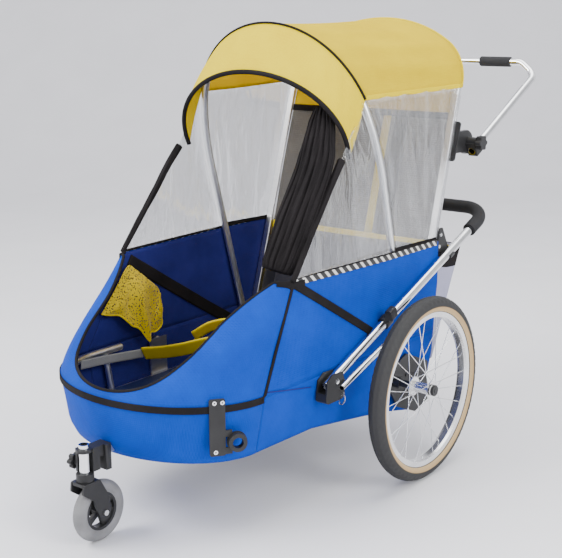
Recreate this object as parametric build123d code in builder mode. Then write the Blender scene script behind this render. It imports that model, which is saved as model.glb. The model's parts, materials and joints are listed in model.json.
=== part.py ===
import os
from math import atan, cos, degrees, radians, sin, sqrt, tan

from build123d import *

os.makedirs("parts", exist_ok=True)

# ------------------------------------------------------------------ driving dimensions, mm
# Row frame: origin on the floor, under the middle of the overall box. The nose points to -Y,
# the push handle to +Y, the trailer's left side to +X. All the lengths below are measured
# from the wheel axle line, which stands AXLE_Y behind the origin.
AXLE_Y = 38.5
AXLE_Z = 250.0  # 20 x 1.75 in tyre, 500 mm across

WHEEL_X = 412.0  # centre plane of each main wheel
TYRE_R = 250.0
TYRE_SECTION = 23.5
RIM_IN, RIM_OUT = 194.0, 210.7
HUB_FLANGE_R = 22.5
AXLE_R = 6.0
SPOKES = 28

CASTER_R = 76.0  # 6 in caster
CASTER_Y = -801.0
CASTER_W = 30.0
SWIVEL_Y = -838.0
STEM_R = 12.7

TUBE = 10.0  # hoop, bow and nose tube radius
BAR = 20.0  # rectangular upright, both ways
BEND_R = 75.0  # rear corners of the U bar
U_R = 12.5  # U bar tube radius
U_X = 323.0  # U bar leg plane
U_SLOPE = 22.5
U_PIVOT = (-300.0, 334.5)

BOW_PIVOT = (137.0, 322.0)  # rear frame hinge (y, z)
BOW_RISE = 0.299  # rearward lean of the uprights, dy/dz
HOOP_PIVOT = (99.0, 272.0)  # front hoop hinge (y, z)
HOOP_RISE = -0.2667  # forward lean of the hoop
HINGE_PIN_R = 5.0
FIT = 0.05  # radial running clearance

HANDLE_X = 312.0
HANDLE_R = 11.0
HANDLE_PIVOT = (396.0, 863.0)
HANDLE_SLOPE = 27.15

RAIL_X = 262.0
RAIL = 25.0
RAIL_Z = 227.5

CLOTH = 3.0  # drawn thickness of the tub fabric


# ------------------------------------------------------------------ working planes
def side(x):
    """Plane seen from +X: local x runs rearward from the axle line, local y up."""
    return Plane(origin=(x, AXLE_Y, 0), x_dir=(0, 1, 0), z_dir=(1, 0, 0))


def front(y):
    """Plane facing -Y: local x is X, local y is Z, the normal points to the nose."""
    return Plane(origin=(0, AXLE_Y + y, 0), x_dir=(1, 0, 0), z_dir=(0, -1, 0))


def level(z):
    """Horizontal plane: local x is X, local y runs rearward from the axle line."""
    return Plane(origin=(0, AXLE_Y, z), x_dir=(1, 0, 0), z_dir=(0, 0, 1))


def leaning(y, z, rise, shift=0.0):
    """Plane through (y, z) that leans by dy/dz = rise: local x is X, local y goes up the
    lean, and the plane stands shift off along its own normal, towards the nose."""
    n = sqrt(1 + rise * rise)
    z_dir = Vector(0, -1 / n, rise / n)
    o = Vector(0, AXLE_Y + y, z) + z_dir * shift
    return Plane(origin=o, x_dir=(1, 0, 0), z_dir=z_dir)


def spot(x, y, z):
    """A point given from the axle line, in the row frame."""
    return Vector(x, AXLE_Y + y, z)


def along(a, b):
    """Plane at point a that faces point b."""
    return Plane(origin=a, z_dir=b - a)


BOW = leaning(*BOW_PIVOT, BOW_RISE)
HOOP = leaning(*HOOP_PIVOT, HOOP_RISE)
BOW_K = sqrt(1 + BOW_RISE**2)
HOOP_K = sqrt(1 + HOOP_RISE**2)


def bow_v(z):
    return (z - BOW_PIVOT[1]) * BOW_K


def hoop_v(z):
    return (z - HOOP_PIVOT[1]) * HOOP_K


def done(builder, label):
    builder.part.label = label
    export_step(builder.part, f"parts/{label}.step")


def other_side(builder):
    """The same piece on the trailer's right side."""
    with BuildPart() as right:
        mirror(builder.part, about=Plane.YZ)
    return right


def twice(builder, name):
    """The piece and its mirror image as the two solids of one node."""
    with BuildPart() as both:
        add(builder.part)
        mirror(builder.part, about=Plane.YZ)
    done(both, name)


def pair(builder, name):
    done(builder, "left_" + name)
    done(other_side(builder), "right_" + name)


# ------------------------------------------------------------------ arches of the frame
# Each arch: straight leg, one or two shoulder arcs, crown arc, and the same mirrored.
HOOP_FOOT = (288.4, 22.0)
HOOP_SHOULDER = (298.0, hoop_v(800.0))
HOOP_ARCS = [(700.0, 16.0), (287.0, 31.0)]
BOW_FOOT = (288.0, bow_v(1000.0) + 0.3)
BOW_ROOT = (294.5, bow_v(322.0))  # where the upright below it starts
BOW_SHOULDER = (288.0, 735.0)
BOW_ARCS = [(135.0, 58.0)]


def crown(foot, shoulder, arcs):
    """Radius and half angle of the crown arc that closes the arch on the centre line."""
    heading = degrees(atan((shoulder[1] - foot[1]) / max(shoulder[0] - foot[0], 1e-9)))
    x, y = shoulder
    for r, turn in arcs:
        x += r * (cos(radians(heading + 90)) - cos(radians(heading + turn + 90)))
        y += r * (sin(radians(heading + 90)) - sin(radians(heading + turn + 90)))
        heading += turn
    return x / sin(radians(heading)), 180 - heading


def bends(line, arcs):
    """Arcs of the given radius and turn, each tangent to the one before it."""
    for r, turn in arcs:
        line = JernArc(line @ 1, line % 1, r, turn)
    return line


def arch_line(foot, shoulder, arcs, off):
    """Close points of the left half of an arch, foot to crown, standing off outside it."""
    heading = degrees(atan((shoulder[1] - foot[1]) / max(shoulder[0] - foot[0], 1e-9)))
    ux, uy = cos(radians(heading)), sin(radians(heading))
    length = sqrt((shoulder[0] - foot[0]) ** 2 + (shoulder[1] - foot[1]) ** 2)
    pts = [
        (foot[0] + ux * length * i / 40 + uy * off, foot[1] + uy * length * i / 40 - ux * off)
        for i in range(40)
    ]
    x, y = shoulder
    for r, turn in [*arcs, crown(foot, shoulder, arcs)]:
        cx, cy = x + r * cos(radians(heading + 90)), y + r * sin(radians(heading + 90))
        for i in range(40):
            a = radians(heading + turn * i / 40 + 90)
            pts.append((cx - (r + off) * cos(a), cy - (r + off) * sin(a)))
        heading += turn
        x, y = cx - r * cos(radians(heading + 90)), cy - r * sin(radians(heading + 90))
    return pts + [(0.0, y + off)]


def arch_cut(line, low, high, n):
    """n equal steps along an arch line, between two local heights."""
    run = [p for p in line if low <= p[1] <= high]
    marks = [0.0]
    for p, q in zip(run, run[1:]):
        marks.append(marks[-1] + sqrt((q[0] - p[0]) ** 2 + (q[1] - p[1]) ** 2))
    out = []
    for k in range(n + 1):
        d = marks[-1] * k / n
        i = max(j for j in range(len(run) - 1) if marks[j] <= d + 1e-9)
        t = (d - marks[i]) / (marks[i + 1] - marks[i])
        p, q = run[i], run[i + 1]
        out.append((p[0] + (q[0] - p[0]) * t, p[1] + (q[1] - p[1]) * t))
    return out


def whole(half):
    """The arch from leg to leg, from the points of its left half."""
    return half + [(-x, y) for x, y in reversed(half[:-1])]


def belly(line, out=1.2):
    """The same line, standing out a little more in its middle, as stretched film does."""
    n = len(line) - 1
    return [(x + out * sin(radians(180 * i / n)), y) for i, (x, y) in enumerate(line)]


def strip(outer, inner):
    """Face between two lines of points."""
    Polygon(*outer, *reversed(inner), align=None)


# ------------------------------------------------------------------ floor frame
with BuildPart() as floor_frame:
    with BuildSketch(front(205)):
        with Locations((RAIL_X, RAIL_Z), (-RAIL_X, RAIL_Z)):
            Rectangle(RAIL, RAIL)
            Rectangle(RAIL - 4, RAIL - 4, mode=Mode.SUBTRACT)
    extrude(amount=750)
    with BuildSketch(side(-RAIL_X + RAIL / 2)):
        with Locations(*[(y, RAIL_Z) for y in (-532.5, -250, 0, 192.5)]):
            Rectangle(RAIL, RAIL)
            Rectangle(RAIL - 4, RAIL - 4, mode=Mode.SUBTRACT)
    extrude(amount=2 * RAIL_X - RAIL)
    # central beam that carries the caster
    with BuildSketch(front(-545)):
        with Locations((0, RAIL_Z)):
            Rectangle(32, 22)
            Rectangle(27, 17, mode=Mode.SUBTRACT)
    extrude(amount=227)
    # plates and bosses that carry the U bar blocks through the side panels
    for s in (1, -1):
        with BuildSketch(front(-268)):
            with Locations((s * 279.75, 236)):
                Rectangle(10.5, 8)
            with Locations((s * 282.5, 287)):
                Rectangle(5, 106)
        extrude(amount=64)
        with BuildSketch(side(s * 285)):
            with Locations(U_PIVOT):
                Circle(9)
        extrude(amount=s * 13)
done(floor_frame, "floor_frame")

with BuildPart() as floor_board:
    with BuildSketch(level(240.3)):
        with Locations((0, -170)):
            RectangleRounded(510, 742, 20)
    extrude(amount=6)
    fillet(floor_board.edges().group_by(Axis.Z)[-1], 1.5)
done(floor_board, "floor_board")

# ------------------------------------------------------------------ nose frame
NOSE_Z = 345.0
NOSE_A, NOSE_B = 287.0, 222.0
nose_r1 = 184.8
nose_r2 = (NOSE_A - nose_r1 * (1 - cos(radians(50)))) / sin(radians(40))
with BuildPart() as nose_frame:
    with BuildLine(level(NOSE_Z)) as nose_path:
        leg = Line((NOSE_A, -440), (NOSE_A, -547))
        end = bends(leg, [(nose_r1, -50), (nose_r2, -80), (nose_r1, -50)])
        Line(end @ 1, (-NOSE_A, -440))
    with BuildSketch(Plane(origin=nose_path.line @ 0, z_dir=nose_path.line % 0)):
        Circle(TUBE)
        Circle(TUBE - 1.8, mode=Mode.SUBTRACT)
    sweep()
    # the two posts down to the floor rails
    for s in (1, -1):
        with BuildSketch(along(spot(s * 264, -500, 240.0), spot(s * 284, -500, 337))):
            Circle(8.5)
        extrude(amount=98)
    with BuildSketch(level(200)):
        Rectangle(700, 1800)
    extrude(amount=40, mode=Mode.SUBTRACT)
done(nose_frame, "nose_frame")

# ------------------------------------------------------------------ side hinge blocks
with BuildPart() as hinge_block:
    with BuildSketch(side(266)):
        Polygon(
            (84, 240),
            (178, 240),
            (166, 344),
            (124, 344),
            (113, 304),
            (109, 284),
            (84, 284),
            align=None,
        )
        with Locations(BOW_PIVOT, HOOP_PIVOT):
            Circle(HINGE_PIN_R, mode=Mode.SUBTRACT)
    extrude(amount=16.6)
    with BuildSketch(side(282.6)):
        with Locations(BOW_PIVOT):
            Circle(11)
            Circle(HINGE_PIN_R, mode=Mode.SUBTRACT)
    extrude(amount=5.6)
twice(hinge_block, "hinge_blocks")

# hinge pins: headed, pressed in the blocks and in the U bar blocks
with BuildPart() as pivot_pins:
    for s in (1, -1):
        with BuildSketch(side(s * 268)):
            with Locations(BOW_PIVOT, HOOP_PIVOT):
                Circle(HINGE_PIN_R)
        extrude(amount=s * 25.4)
        with BuildSketch(side(s * 293.4)):
            with Locations(BOW_PIVOT):
                Circle(HINGE_PIN_R)
        extrude(amount=s * 7.5)
        with BuildSketch(side(s * 300.9)):
            with Locations(BOW_PIVOT):
                Circle(8)
        extrude(amount=s * 2.6)
        with BuildSketch(side(s * 293.4)):
            with Locations(HOOP_PIVOT):
                Circle(8)
        extrude(amount=s * 2.6)
        with BuildSketch(side(s * 298)):
            with Locations(U_PIVOT):
                Circle(4)
        extrude(amount=s * 41.4)
        with BuildSketch(side(s * 339.4)):
            with Locations(U_PIVOT):
                Circle(6.5)
        extrude(amount=s * 2.4)
done(pivot_pins, "pivot_pins")

# ------------------------------------------------------------------ axle brackets
with BuildPart() as axle_bracket:
    with BuildSketch(side(312.5)):
        Polygon(
            (-26, 232),
            (-20, 276),
            (16, 300),
            (57, 316),
            (169, 268),
            (166, 222),
            (186, 158),
            (105, 135),
            (18, 172),
            align=None,
        )
        fillet(vertices(), 9)
    extrude(amount=5.5)
    # receiver for the wheel's stub axle
    with BuildSketch(side(318)):
        with Locations((0, AXLE_Z)):
            Circle(15)
    extrude(amount=20)
    with BuildSketch(side(312.5)):
        with Locations((0, AXLE_Z)):
            Circle(AXLE_R)
    extrude(amount=25.5, mode=Mode.SUBTRACT)
    # two stiffening ribs pressed into the plate
    with BuildSketch(side(318)):
        with Locations((95, 200), (95, 246)):
            SlotOverall(90, 9, rotation=-12)
    extrude(amount=3)
twice(axle_bracket, "axle_brackets")

# ------------------------------------------------------------------ U bar blocks and ring pins
RING_PIN = (-283.0, 298.0)
with BuildPart() as bar_block:
    with BuildSketch(side(306.8)):
        Polygon(
            (-346, 290),
            (-340, 342),
            (-318, 356),
            (-276, 354),
            (-266, 330),
            (-266, 290),
            (-276, 283),
            (-336, 283),
            align=None,
        )
        fillet(vertices(), 4)
        with Locations(U_PIVOT):
            Circle(4, mode=Mode.SUBTRACT)
        with Locations(RING_PIN):
            Circle(3.1, mode=Mode.SUBTRACT)
    extrude(amount=32.4)
    # the slot in which the bar's end turns
    with BuildSketch(front(-240)):
        with Locations((U_X, 345)):
            Rectangle(25.6, 70)
    extrude(amount=130, mode=Mode.SUBTRACT)
twice(bar_block, "bar_blocks")

with BuildPart() as ring_pin:
    with BuildSketch(side(311.5)):
        with Locations(RING_PIN):
            Circle(3)
    extrude(amount=28.5)
    with BuildSketch(side(340)):
        with Locations(RING_PIN):
            Circle(5.5)
    extrude(amount=6)
    with BuildSketch(side(343).offset(-1.2)):
        with Locations((RING_PIN[0], RING_PIN[1] - 16)):
            Circle(13)
            Circle(10.6, mode=Mode.SUBTRACT)
    extrude(amount=2.4)
pair(ring_pin, "ring_pin")

# ------------------------------------------------------------------ tub fabric
# half width of the tub at the front seam, and how far its nose bulges, by height
NOSE_SECTIONS = [
    (208, 276.6, -547, 201),
    (240, 282.7, -547, 221),
    (351, 304.0, -547, 236),
    (400, 300.2, -520, 239),
    (450, 296.6, -493, 212),
    (530, 291.4, -449, 138),
    (597, 287.3, -413, 80),
]
RIM = (-767.0, 378.0, 0.695)  # front opening: z = 378 + 0.695 (y + 767)


with BuildPart() as nose_panel:
    for z, a, seam, b in NOSE_SECTIONS:
        with BuildSketch(level(z)):
            with BuildLine():
                EllipticalCenterArc((0, seam), a, b, start_angle=180, arc_size=180)
                Line((a, seam), (-a, seam))
            make_face()
    loft(ruled=True)
    with BuildPart(mode=Mode.PRIVATE) as nose_inside:
        for z, a, seam, b in [
            (208 + CLOTH, 277.2, -547, 202),
            *NOSE_SECTIONS[1:-1],
            (600, 287.0, -411, 77),
        ]:
            with BuildSketch(level(z)):
                with BuildLine():
                    EllipticalCenterArc(
                        (0, seam), a - CLOTH, b - CLOTH, start_angle=180, arc_size=180
                    )
                    Polyline(
                        (a - CLOTH, seam),
                        (a - CLOTH, seam + 6),
                        (CLOTH - a, seam + 6),
                        (CLOTH - a, seam),
                    )
                make_face()
        loft(ruled=True)
    add(nose_inside.part, mode=Mode.SUBTRACT)
    # the slanted front opening
    with BuildSketch(side(-400)):
        Polygon(
            (-900, RIM[1] + RIM[2] * (-900 - RIM[0])),
            (-350, RIM[1] + RIM[2] * (-350 - RIM[0])),
            (-350, 800),
            (-900, 800),
            align=None,
        )
    extrude(amount=800, mode=Mode.SUBTRACT)
    # slot for the caster beam
    with BuildSketch(front(-700)):
        with Locations((0, RAIL_Z)):
            Rectangle(33.4, 23.4)
    extrude(amount=100, mode=Mode.SUBTRACT)
done(nose_panel, "nose_panel")

PANEL_FRONT = [(279.0, 602), (303.9, 351), (261.8, 135)]  # x, z at y = -560
PANEL_MIDDLE = [(308.2, 602), (308.4, 351), (293.4, 135)]  # at y = -40
PANEL_REAR = [(308.8, 602), (309.5, 351), (311.0, 135)]  # at y = 250
with BuildPart() as side_panel:
    for y, line in ((-560, PANEL_FRONT), (-40, PANEL_MIDDLE), (250, PANEL_REAR)):
        with BuildSketch(front(y)):
            Polygon(
                *line, *[(x - CLOTH, z) for x, z in reversed(line)], align=None
            )
    loft(ruled=True)
    with BuildSketch(side(200)):
        Polygon(
            (-409, 602),
            (-411.7, 597),
            (-545.7, 351),
            (-545.7, 208.5),
            (-360, 210),
            (-47, 166),
            (95, 140),
            (175, 215),
            (199, 289),
            (214, 433),
            (230, 470),
            (230, 548),
            (206, 552),
            (206, 602),
            align=None,
        )
    extrude(amount=150, mode=Mode.INTERSECT)
    # room for the U bar boss and the axle
    with BuildSketch(side(200)):
        with Locations(U_PIVOT):
            Circle(4.4)
        with Locations((0, AXLE_Z)):
            Circle(AXLE_R + 0.4)
    extrude(amount=150, mode=Mode.SUBTRACT)
pair(side_panel, "side_panel")

# ------------------------------------------------------------------ seat and harness
with BuildPart() as seat_cushion:
    with BuildSketch(level(246.6)):
        with Locations((0, -25)):
            RectangleRounded(478, 250, 22)
    extrude(amount=53)
    fillet(seat_cushion.edges().group_by(Axis.Z)[-1], 18)
done(seat_cushion, "seat_cushion")

with BuildPart() as harness_strap:
    # webbing from the far wall to the padded strap that lies across the footwell
    with BuildSketch(side(-262)):
        Polygon(
            (-560, 322), (-386, 306), (-386, 328), (-560, 344), align=None
        )
    extrude(amount=3)
    run = spot(40, -282, 272) - spot(-256, -368, 317)
    with BuildSketch(
        Plane(origin=spot(-256, -368, 317), x_dir=run.cross(Vector(0, 0, 1)), z_dir=run)
    ):
        RectangleRounded(44, 9, 4)
    extrude(amount=run.length)
done(harness_strap, "harness_strap")

# ------------------------------------------------------------------ rear frame
with BuildPart() as upright:
    with BuildSketch(BOW):
        Polygon(
            (294.5 - BAR / 2, 15),
            (294.5 + BAR / 2, 15),
            (288 + BAR / 2, bow_v(1000)),
            (288 - BAR / 2, bow_v(1000)),
            align=None,
        )
    extrude(amount=BAR / 2, both=True)
    fillet(upright.edges().filter_by(lambda e: e.length > 300), 2.5)
    with BuildSketch(side(288.5)):
        with Locations(BOW_PIVOT):
            Circle(13)
        Polygon(
            (BOW_PIVOT[0] - 9, BOW_PIVOT[1] + 2),
            (BOW_PIVOT[0] + 9, BOW_PIVOT[1] - 2),
            (BOW_PIVOT[0] + 14, BOW_PIVOT[1] + 20),
            (BOW_PIVOT[0] - 3, BOW_PIVOT[1] + 22),
            align=None,
        )
    extrude(amount=12)
    with BuildSketch(side(280)):
        with Locations(BOW_PIVOT):
            Circle(HINGE_PIN_R + FIT)
    extrude(amount=30, mode=Mode.SUBTRACT)
twice(upright, "uprights")

bow_r, bow_half = crown(BOW_FOOT, BOW_SHOULDER, BOW_ARCS)
with BuildPart() as rear_bow:
    with BuildLine(BOW) as bow_path:
        leg = Line(BOW_FOOT, BOW_SHOULDER)
        end = bends(leg, [*BOW_ARCS, (bow_r, 2 * bow_half), *reversed(BOW_ARCS)])
        Line(end @ 1, (-BOW_FOOT[0], BOW_FOOT[1]))
    with BuildSketch(Plane(origin=bow_path.line @ 0, z_dir=bow_path.line % 0)):
        Circle(TUBE)
        Circle(TUBE - 1.8, mode=Mode.SUBTRACT)
    sweep()
done(rear_bow, "rear_bow")

# clips on the uprights in which the U bar rests
CLIP_Y = 256.0
CLIP_Z = U_PIVOT[1] + (CLIP_Y - U_PIVOT[0]) * tan(radians(U_SLOPE))
with BuildPart() as bar_clips:
    # plate on the upright's outer face
    with BuildSketch(side(302.2)):
        Polygon(
            (239, 636), (253, 636), (284, 578), (270, 560), (250, 566), (223, 574), align=None
        )
        fillet(vertices(), 4)
    extrude(amount=4)
    # its flange on the upright's rear face
    with BuildSketch(leaning(*BOW_PIVOT, BOW_RISE, -(BAR / 2 + 0.02))):
        with Locations((298.5, bow_v(604))):
            Rectangle(15, 56)
    extrude(amount=-4)
    # saddle over the bar, open towards the rear and below
    u_dir = Vector(0, cos(radians(U_SLOPE)), sin(radians(U_SLOPE)))
    with BuildSketch(
        Plane(
            origin=Vector(U_X, AXLE_Y + CLIP_Y, CLIP_Z) - u_dir * 11,
            x_dir=(1, 0, 0),
            z_dir=u_dir,
        )
    ):
        Circle(16.4)
        with Locations((-10, 8)):
            Rectangle(20, 17)
        Circle(U_R + 0.4, mode=Mode.SUBTRACT)
        with Locations((0, -20)):
            Rectangle(60, 40, mode=Mode.SUBTRACT)
    extrude(amount=22)
    mirror(about=Plane.YZ)
done(bar_clips, "bar_clips")

# hinge of the push handle: plate on the upright's rear face, round boss, pivot stud
HP_Y, HP_Z = HANDLE_PIVOT
REAR_FACE = BOW.offset(-(BAR / 2 + 0.02))
with BuildPart() as handle_hinges:
    with BuildSketch(REAR_FACE):
        with Locations((296, bow_v(876))):
            RectangleRounded(30, 108 * BOW_K, 8)
    extrude(amount=-5)
    with BuildSketch(side(284)):
        Polygon(
            (312, 838), (372, 836), (396, 829), (396, 897), (352, 897), (331, 897), align=None
        )
    extrude(amount=14.5)
    # domed boss
    with BuildSketch(Plane(origin=spot(0, HP_Y, HP_Z), x_dir=(1, 0, 0), z_dir=(0, -1, 0))):
        Polygon(
            (284, 0), (284, 34), (292, 34), (295.5, 31.8), (297.8, 27.5), (298.5, 22), (298.5, 0),
            align=None,
        )
    revolve(axis=Axis(spot(0, HP_Y, HP_Z), (1, 0, 0)))
    with BuildSketch(side(298.5)):
        with Locations(HANDLE_PIVOT):
            Circle(5)
    extrude(amount=46)
    mirror(about=Plane.YZ)
done(handle_hinges, "handle_hinges")

# bolts of the rear frame: two in each clip, two in each hinge plate
with BuildPart() as frame_bolts:
    with BuildSketch(side(306.2)):
        with Locations((241, 617), (233, 585)):
            Circle(5)
    extrude(amount=3)
    for v in (bow_v(876) - 44, bow_v(876) + 44):
        with BuildSketch(BOW.offset(-(BAR / 2 + 5.02))):
            with Locations((303, v)):
                Circle(5.5)
        extrude(amount=-3.2)
    mirror(about=Plane.YZ)
done(frame_bolts, "frame_bolts")

# ------------------------------------------------------------------ fabric on the rear frame
ROOF_OFF = 11.6
ROOF_LOW = (hoop_v(1013.0), bow_v(1022.0))  # lower edge of the roof at hoop and at bow


def hoop_line(off, low, high=2000.0, n=10):
    return arch_cut(arch_line(HOOP_FOOT, HOOP_SHOULDER, HOOP_ARCS, off), low, high, n)


def bow_line(off, low, high=2000.0, n=10):
    rise = BOW_FOOT[1] - BOW_ROOT[1]
    leg = [
        (BOW_ROOT[0] + off + (BOW_FOOT[0] - BOW_ROOT[0]) * i / 60, BOW_ROOT[1] + rise * i / 60)
        for i in range(60)
    ]
    return arch_cut(
        leg + arch_line(BOW_FOOT, BOW_SHOULDER, BOW_ARCS, off), low, high, n
    )


with BuildPart() as rear_panel:
    with BuildSketch(BOW):
        Polygon(
            (-262, bow_v(345)),
            (262, bow_v(345)),
            (262, bow_v(372)),
            (279, bow_v(380)),
            *whole(bow_line(-10.8, bow_v(1004), n=14)),
            (-279, bow_v(380)),
            (-262, bow_v(372)),
            align=None,
        )
    extrude(amount=2.5, both=True)
done(rear_panel, "rear_panel")

with BuildPart() as seat_back:
    with BuildSketch(BOW.offset(4)):
        with Locations((0, bow_v(470))):
            RectangleRounded(470, 236, 24)
    extrude(amount=24)
    fillet(seat_back.faces().sort_by(Axis.Y)[0].edges(), 9)
done(seat_back, "seat_back")

BAG = [(238, 598), (387, 564), (240, 253), (181, 258)]
BAG_IN = [(248, 640), (420, 640), (384, 566), (238.6, 257), (184.5, 261.5)]
with BuildPart() as rear_bag:
    with BuildSketch(side(-288)):
        Polygon(*BAG, align=None)
    extrude(amount=576)
    with BuildSketch(side(-285)):
        Polygon(*BAG_IN, align=None)
    extrude(amount=570, mode=Mode.SUBTRACT)
done(rear_bag, "rear_bag")

with BuildPart() as roof_canopy:
    with BuildSketch(HOOP):
        strip(
            whole(hoop_line(ROOF_OFF + 3, ROOF_LOW[0], n=16)),
            whole(hoop_line(ROOF_OFF, ROOF_LOW[0], n=16)),
        )
    with BuildSketch(BOW):
        strip(
            whole(bow_line(ROOF_OFF + 3, ROOF_LOW[1], n=16)),
            whole(bow_line(ROOF_OFF, ROOF_LOW[1], n=16)),
        )
    loft(ruled=True)
done(roof_canopy, "roof_canopy")

# clear side windows, stretched between hoop and upright
SILL = 604.5
with BuildPart() as side_windows:
    with BuildSketch(HOOP):
        strip(
            belly(hoop_line(12.6, hoop_v(SILL), ROOF_LOW[0] - 4)),
            belly(hoop_line(11.2, hoop_v(SILL), ROOF_LOW[0] - 4)),
        )
    with BuildSketch(BOW):
        strip(
            belly(bow_line(12.6, bow_v(SILL), ROOF_LOW[1] - 4)),
            belly(bow_line(11.2, bow_v(SILL), ROOF_LOW[1] - 4)),
        )
    loft(ruled=True)
    mirror(about=Plane.YZ)
done(side_windows, "side_windows")

# ------------------------------------------------------------------ front hoop
hoop_r, hoop_half = crown(HOOP_FOOT, HOOP_SHOULDER, HOOP_ARCS)
with BuildPart() as front_hoop:
    with BuildLine(HOOP) as hoop_path:
        leg = Line(HOOP_FOOT, HOOP_SHOULDER)
        end = bends(leg, [*HOOP_ARCS, (hoop_r, 2 * hoop_half), *reversed(HOOP_ARCS)])
        Line(end @ 1, (-HOOP_FOOT[0], HOOP_FOOT[1]))
    with BuildSketch(Plane(origin=hoop_path.line @ 0, z_dir=hoop_path.line % 0)):
        Circle(TUBE)
        Circle(TUBE - 1.8, mode=Mode.SUBTRACT)
    sweep()
    for s in (1, -1):
        with BuildSketch(side(283 if s > 0 else -293)):
            with Locations(HOOP_PIVOT):
                Circle(12)
            Polygon(
                (HOOP_PIVOT[0] - 9, HOOP_PIVOT[1]),
                (HOOP_PIVOT[0] + 9, HOOP_PIVOT[1] + 2),
                (HOOP_PIVOT[0] + 2, HOOP_PIVOT[1] + 25),
                (HOOP_PIVOT[0] - 15, HOOP_PIVOT[1] + 22),
                align=None,
            )
            with Locations(HOOP_PIVOT):
                Circle(HINGE_PIN_R + FIT, mode=Mode.SUBTRACT)
        extrude(amount=10)
done(front_hoop, "front_hoop")

# visor: sheet from the front of the hoop to its own bound edge
VISOR_RISE = -0.333
VISOR = leaning(-171, 900, VISOR_RISE)
VISOR_K = sqrt(1 + VISOR_RISE**2)
VISOR_A, VISOR_B = 276.0, 182.0
VISOR_LOW = -9.0  # where the edge starts, degrees round the ellipse


def visor_edge(inset, n=10):
    pts = []
    for i in range(n + 1):
        t = radians(VISOR_LOW + (90 - VISOR_LOW) * i / n)
        pts.append(((VISOR_A - inset) * cos(t), (VISOR_B - inset) * VISOR_K * sin(t)))
    return pts


HOOP_FACE = leaning(*HOOP_PIVOT, HOOP_RISE, 11.2)  # just ahead of the hoop tube
with BuildPart() as visor:
    with BuildSketch(HOOP_FACE):
        strip(whole(hoop_line(12.0, ROOF_LOW[0])), whole(hoop_line(9.0, ROOF_LOW[0])))
    with BuildSketch(VISOR):
        strip(whole(visor_edge(0)), whole(visor_edge(3)))
    loft(ruled=True)
done(visor, "visor")

# clear triangular front windows with a straight bound front edge
STRAP_LOW, STRAP_HIGH = (-414.0, SILL), (-203.0, 866.0)
STRAP_RISE = (STRAP_HIGH[0] - STRAP_LOW[0]) / (STRAP_HIGH[1] - STRAP_LOW[1])
STRAP_V = (STRAP_HIGH[1] - STRAP_LOW[1]) * sqrt(1 + STRAP_RISE**2)


def strap_line(inset, n=10):
    return [(290.5 - 14.0 * i / n - inset, STRAP_V * i / n) for i in range(n + 1)]


with BuildPart() as front_windows:
    with BuildSketch(HOOP_FACE):
        strip(
            belly(hoop_line(12.0, hoop_v(SILL), ROOF_LOW[0] - 5)),
            belly(hoop_line(10.6, hoop_v(SILL), ROOF_LOW[0] - 5)),
        )
    with BuildSketch(leaning(*STRAP_LOW, STRAP_RISE)):
        strip(belly(strap_line(0)), belly(strap_line(1.4)))
    loft(ruled=True)
    mirror(about=Plane.YZ)
done(front_windows, "front_windows")

# insect and rain cover, gathered and hung along the left edge of the front opening
COVER = [
    (spot(190, -180, 990), 56, 30),
    (spot(222, -262, 855), 92, 38),
    (spot(226, -345, 735), 96, 40),
    (spot(222, -420, 618), 88, 34),
]
with BuildPart() as rolled_cover:
    for i, (p, w, t) in enumerate(COVER):
        a = COVER[max(i - 1, 0)][0]
        b = COVER[min(i + 1, 3)][0]
        with BuildSketch(Plane(origin=p, x_dir=(1, 0, 0), z_dir=b - a)):
            Ellipse(w / 2, t / 2)
    loft(ruled=True)
done(rolled_cover, "rolled_cover")

# ------------------------------------------------------------------ U bar
u_plane = Plane(
    origin=spot(0, *U_PIVOT),
    x_dir=(1, 0, 0),
    z_dir=(0, -sin(radians(U_SLOPE)), cos(radians(U_SLOPE))),
)
U_END = 846.0
with BuildPart() as u_bar:
    with BuildLine(u_plane) as u_path:
        FilletPolyline(
            (U_X, -28), (U_X, U_END), (-U_X, U_END), (-U_X, -28), radius=BEND_R
        )
    with BuildSketch(Plane(origin=u_path.line @ 0, z_dir=u_path.line % 0)):
        Circle(U_R)
        Circle(U_R - 2, mode=Mode.SUBTRACT)
    sweep()
    with BuildSketch(side(-400)):
        with Locations(U_PIVOT):
            Circle(4 + FIT)
    extrude(amount=800, mode=Mode.SUBTRACT)
done(u_bar, "u_bar")

with BuildPart() as bar_foam:
    with BuildLine(u_plane) as foam_path:
        FilletPolyline(
            (U_X, 728), (U_X, U_END), (-U_X, U_END), (-U_X, 728), radius=BEND_R
        )
    with BuildSketch(Plane(origin=foam_path.line @ 0, z_dir=foam_path.line % 0)):
        Circle(19)
        Circle(U_R + 0.2, mode=Mode.SUBTRACT)
    sweep()
done(bar_foam, "bar_foam")

MID = 260.0  # along the bar from its pivot
BRACE_X = 348.5


def on_bar(x, w, up=0.0):
    c, s = cos(radians(U_SLOPE)), sin(radians(U_SLOPE))
    return spot(x, U_PIVOT[0] + w * c - up * s, U_PIVOT[1] + w * s + up * c)


brace_a, brace_b = on_bar(BRACE_X, 0, -18), on_bar(BRACE_X, MID - 14, -34)
with BuildPart() as brace_tubes:
    with BuildSketch(along(brace_a, brace_b)):
        Circle(8)
        Circle(6.4, mode=Mode.SUBTRACT)
    extrude(amount=(brace_b - brace_a).length)
    mirror(about=Plane.YZ)
done(brace_tubes, "brace_tubes")

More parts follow.
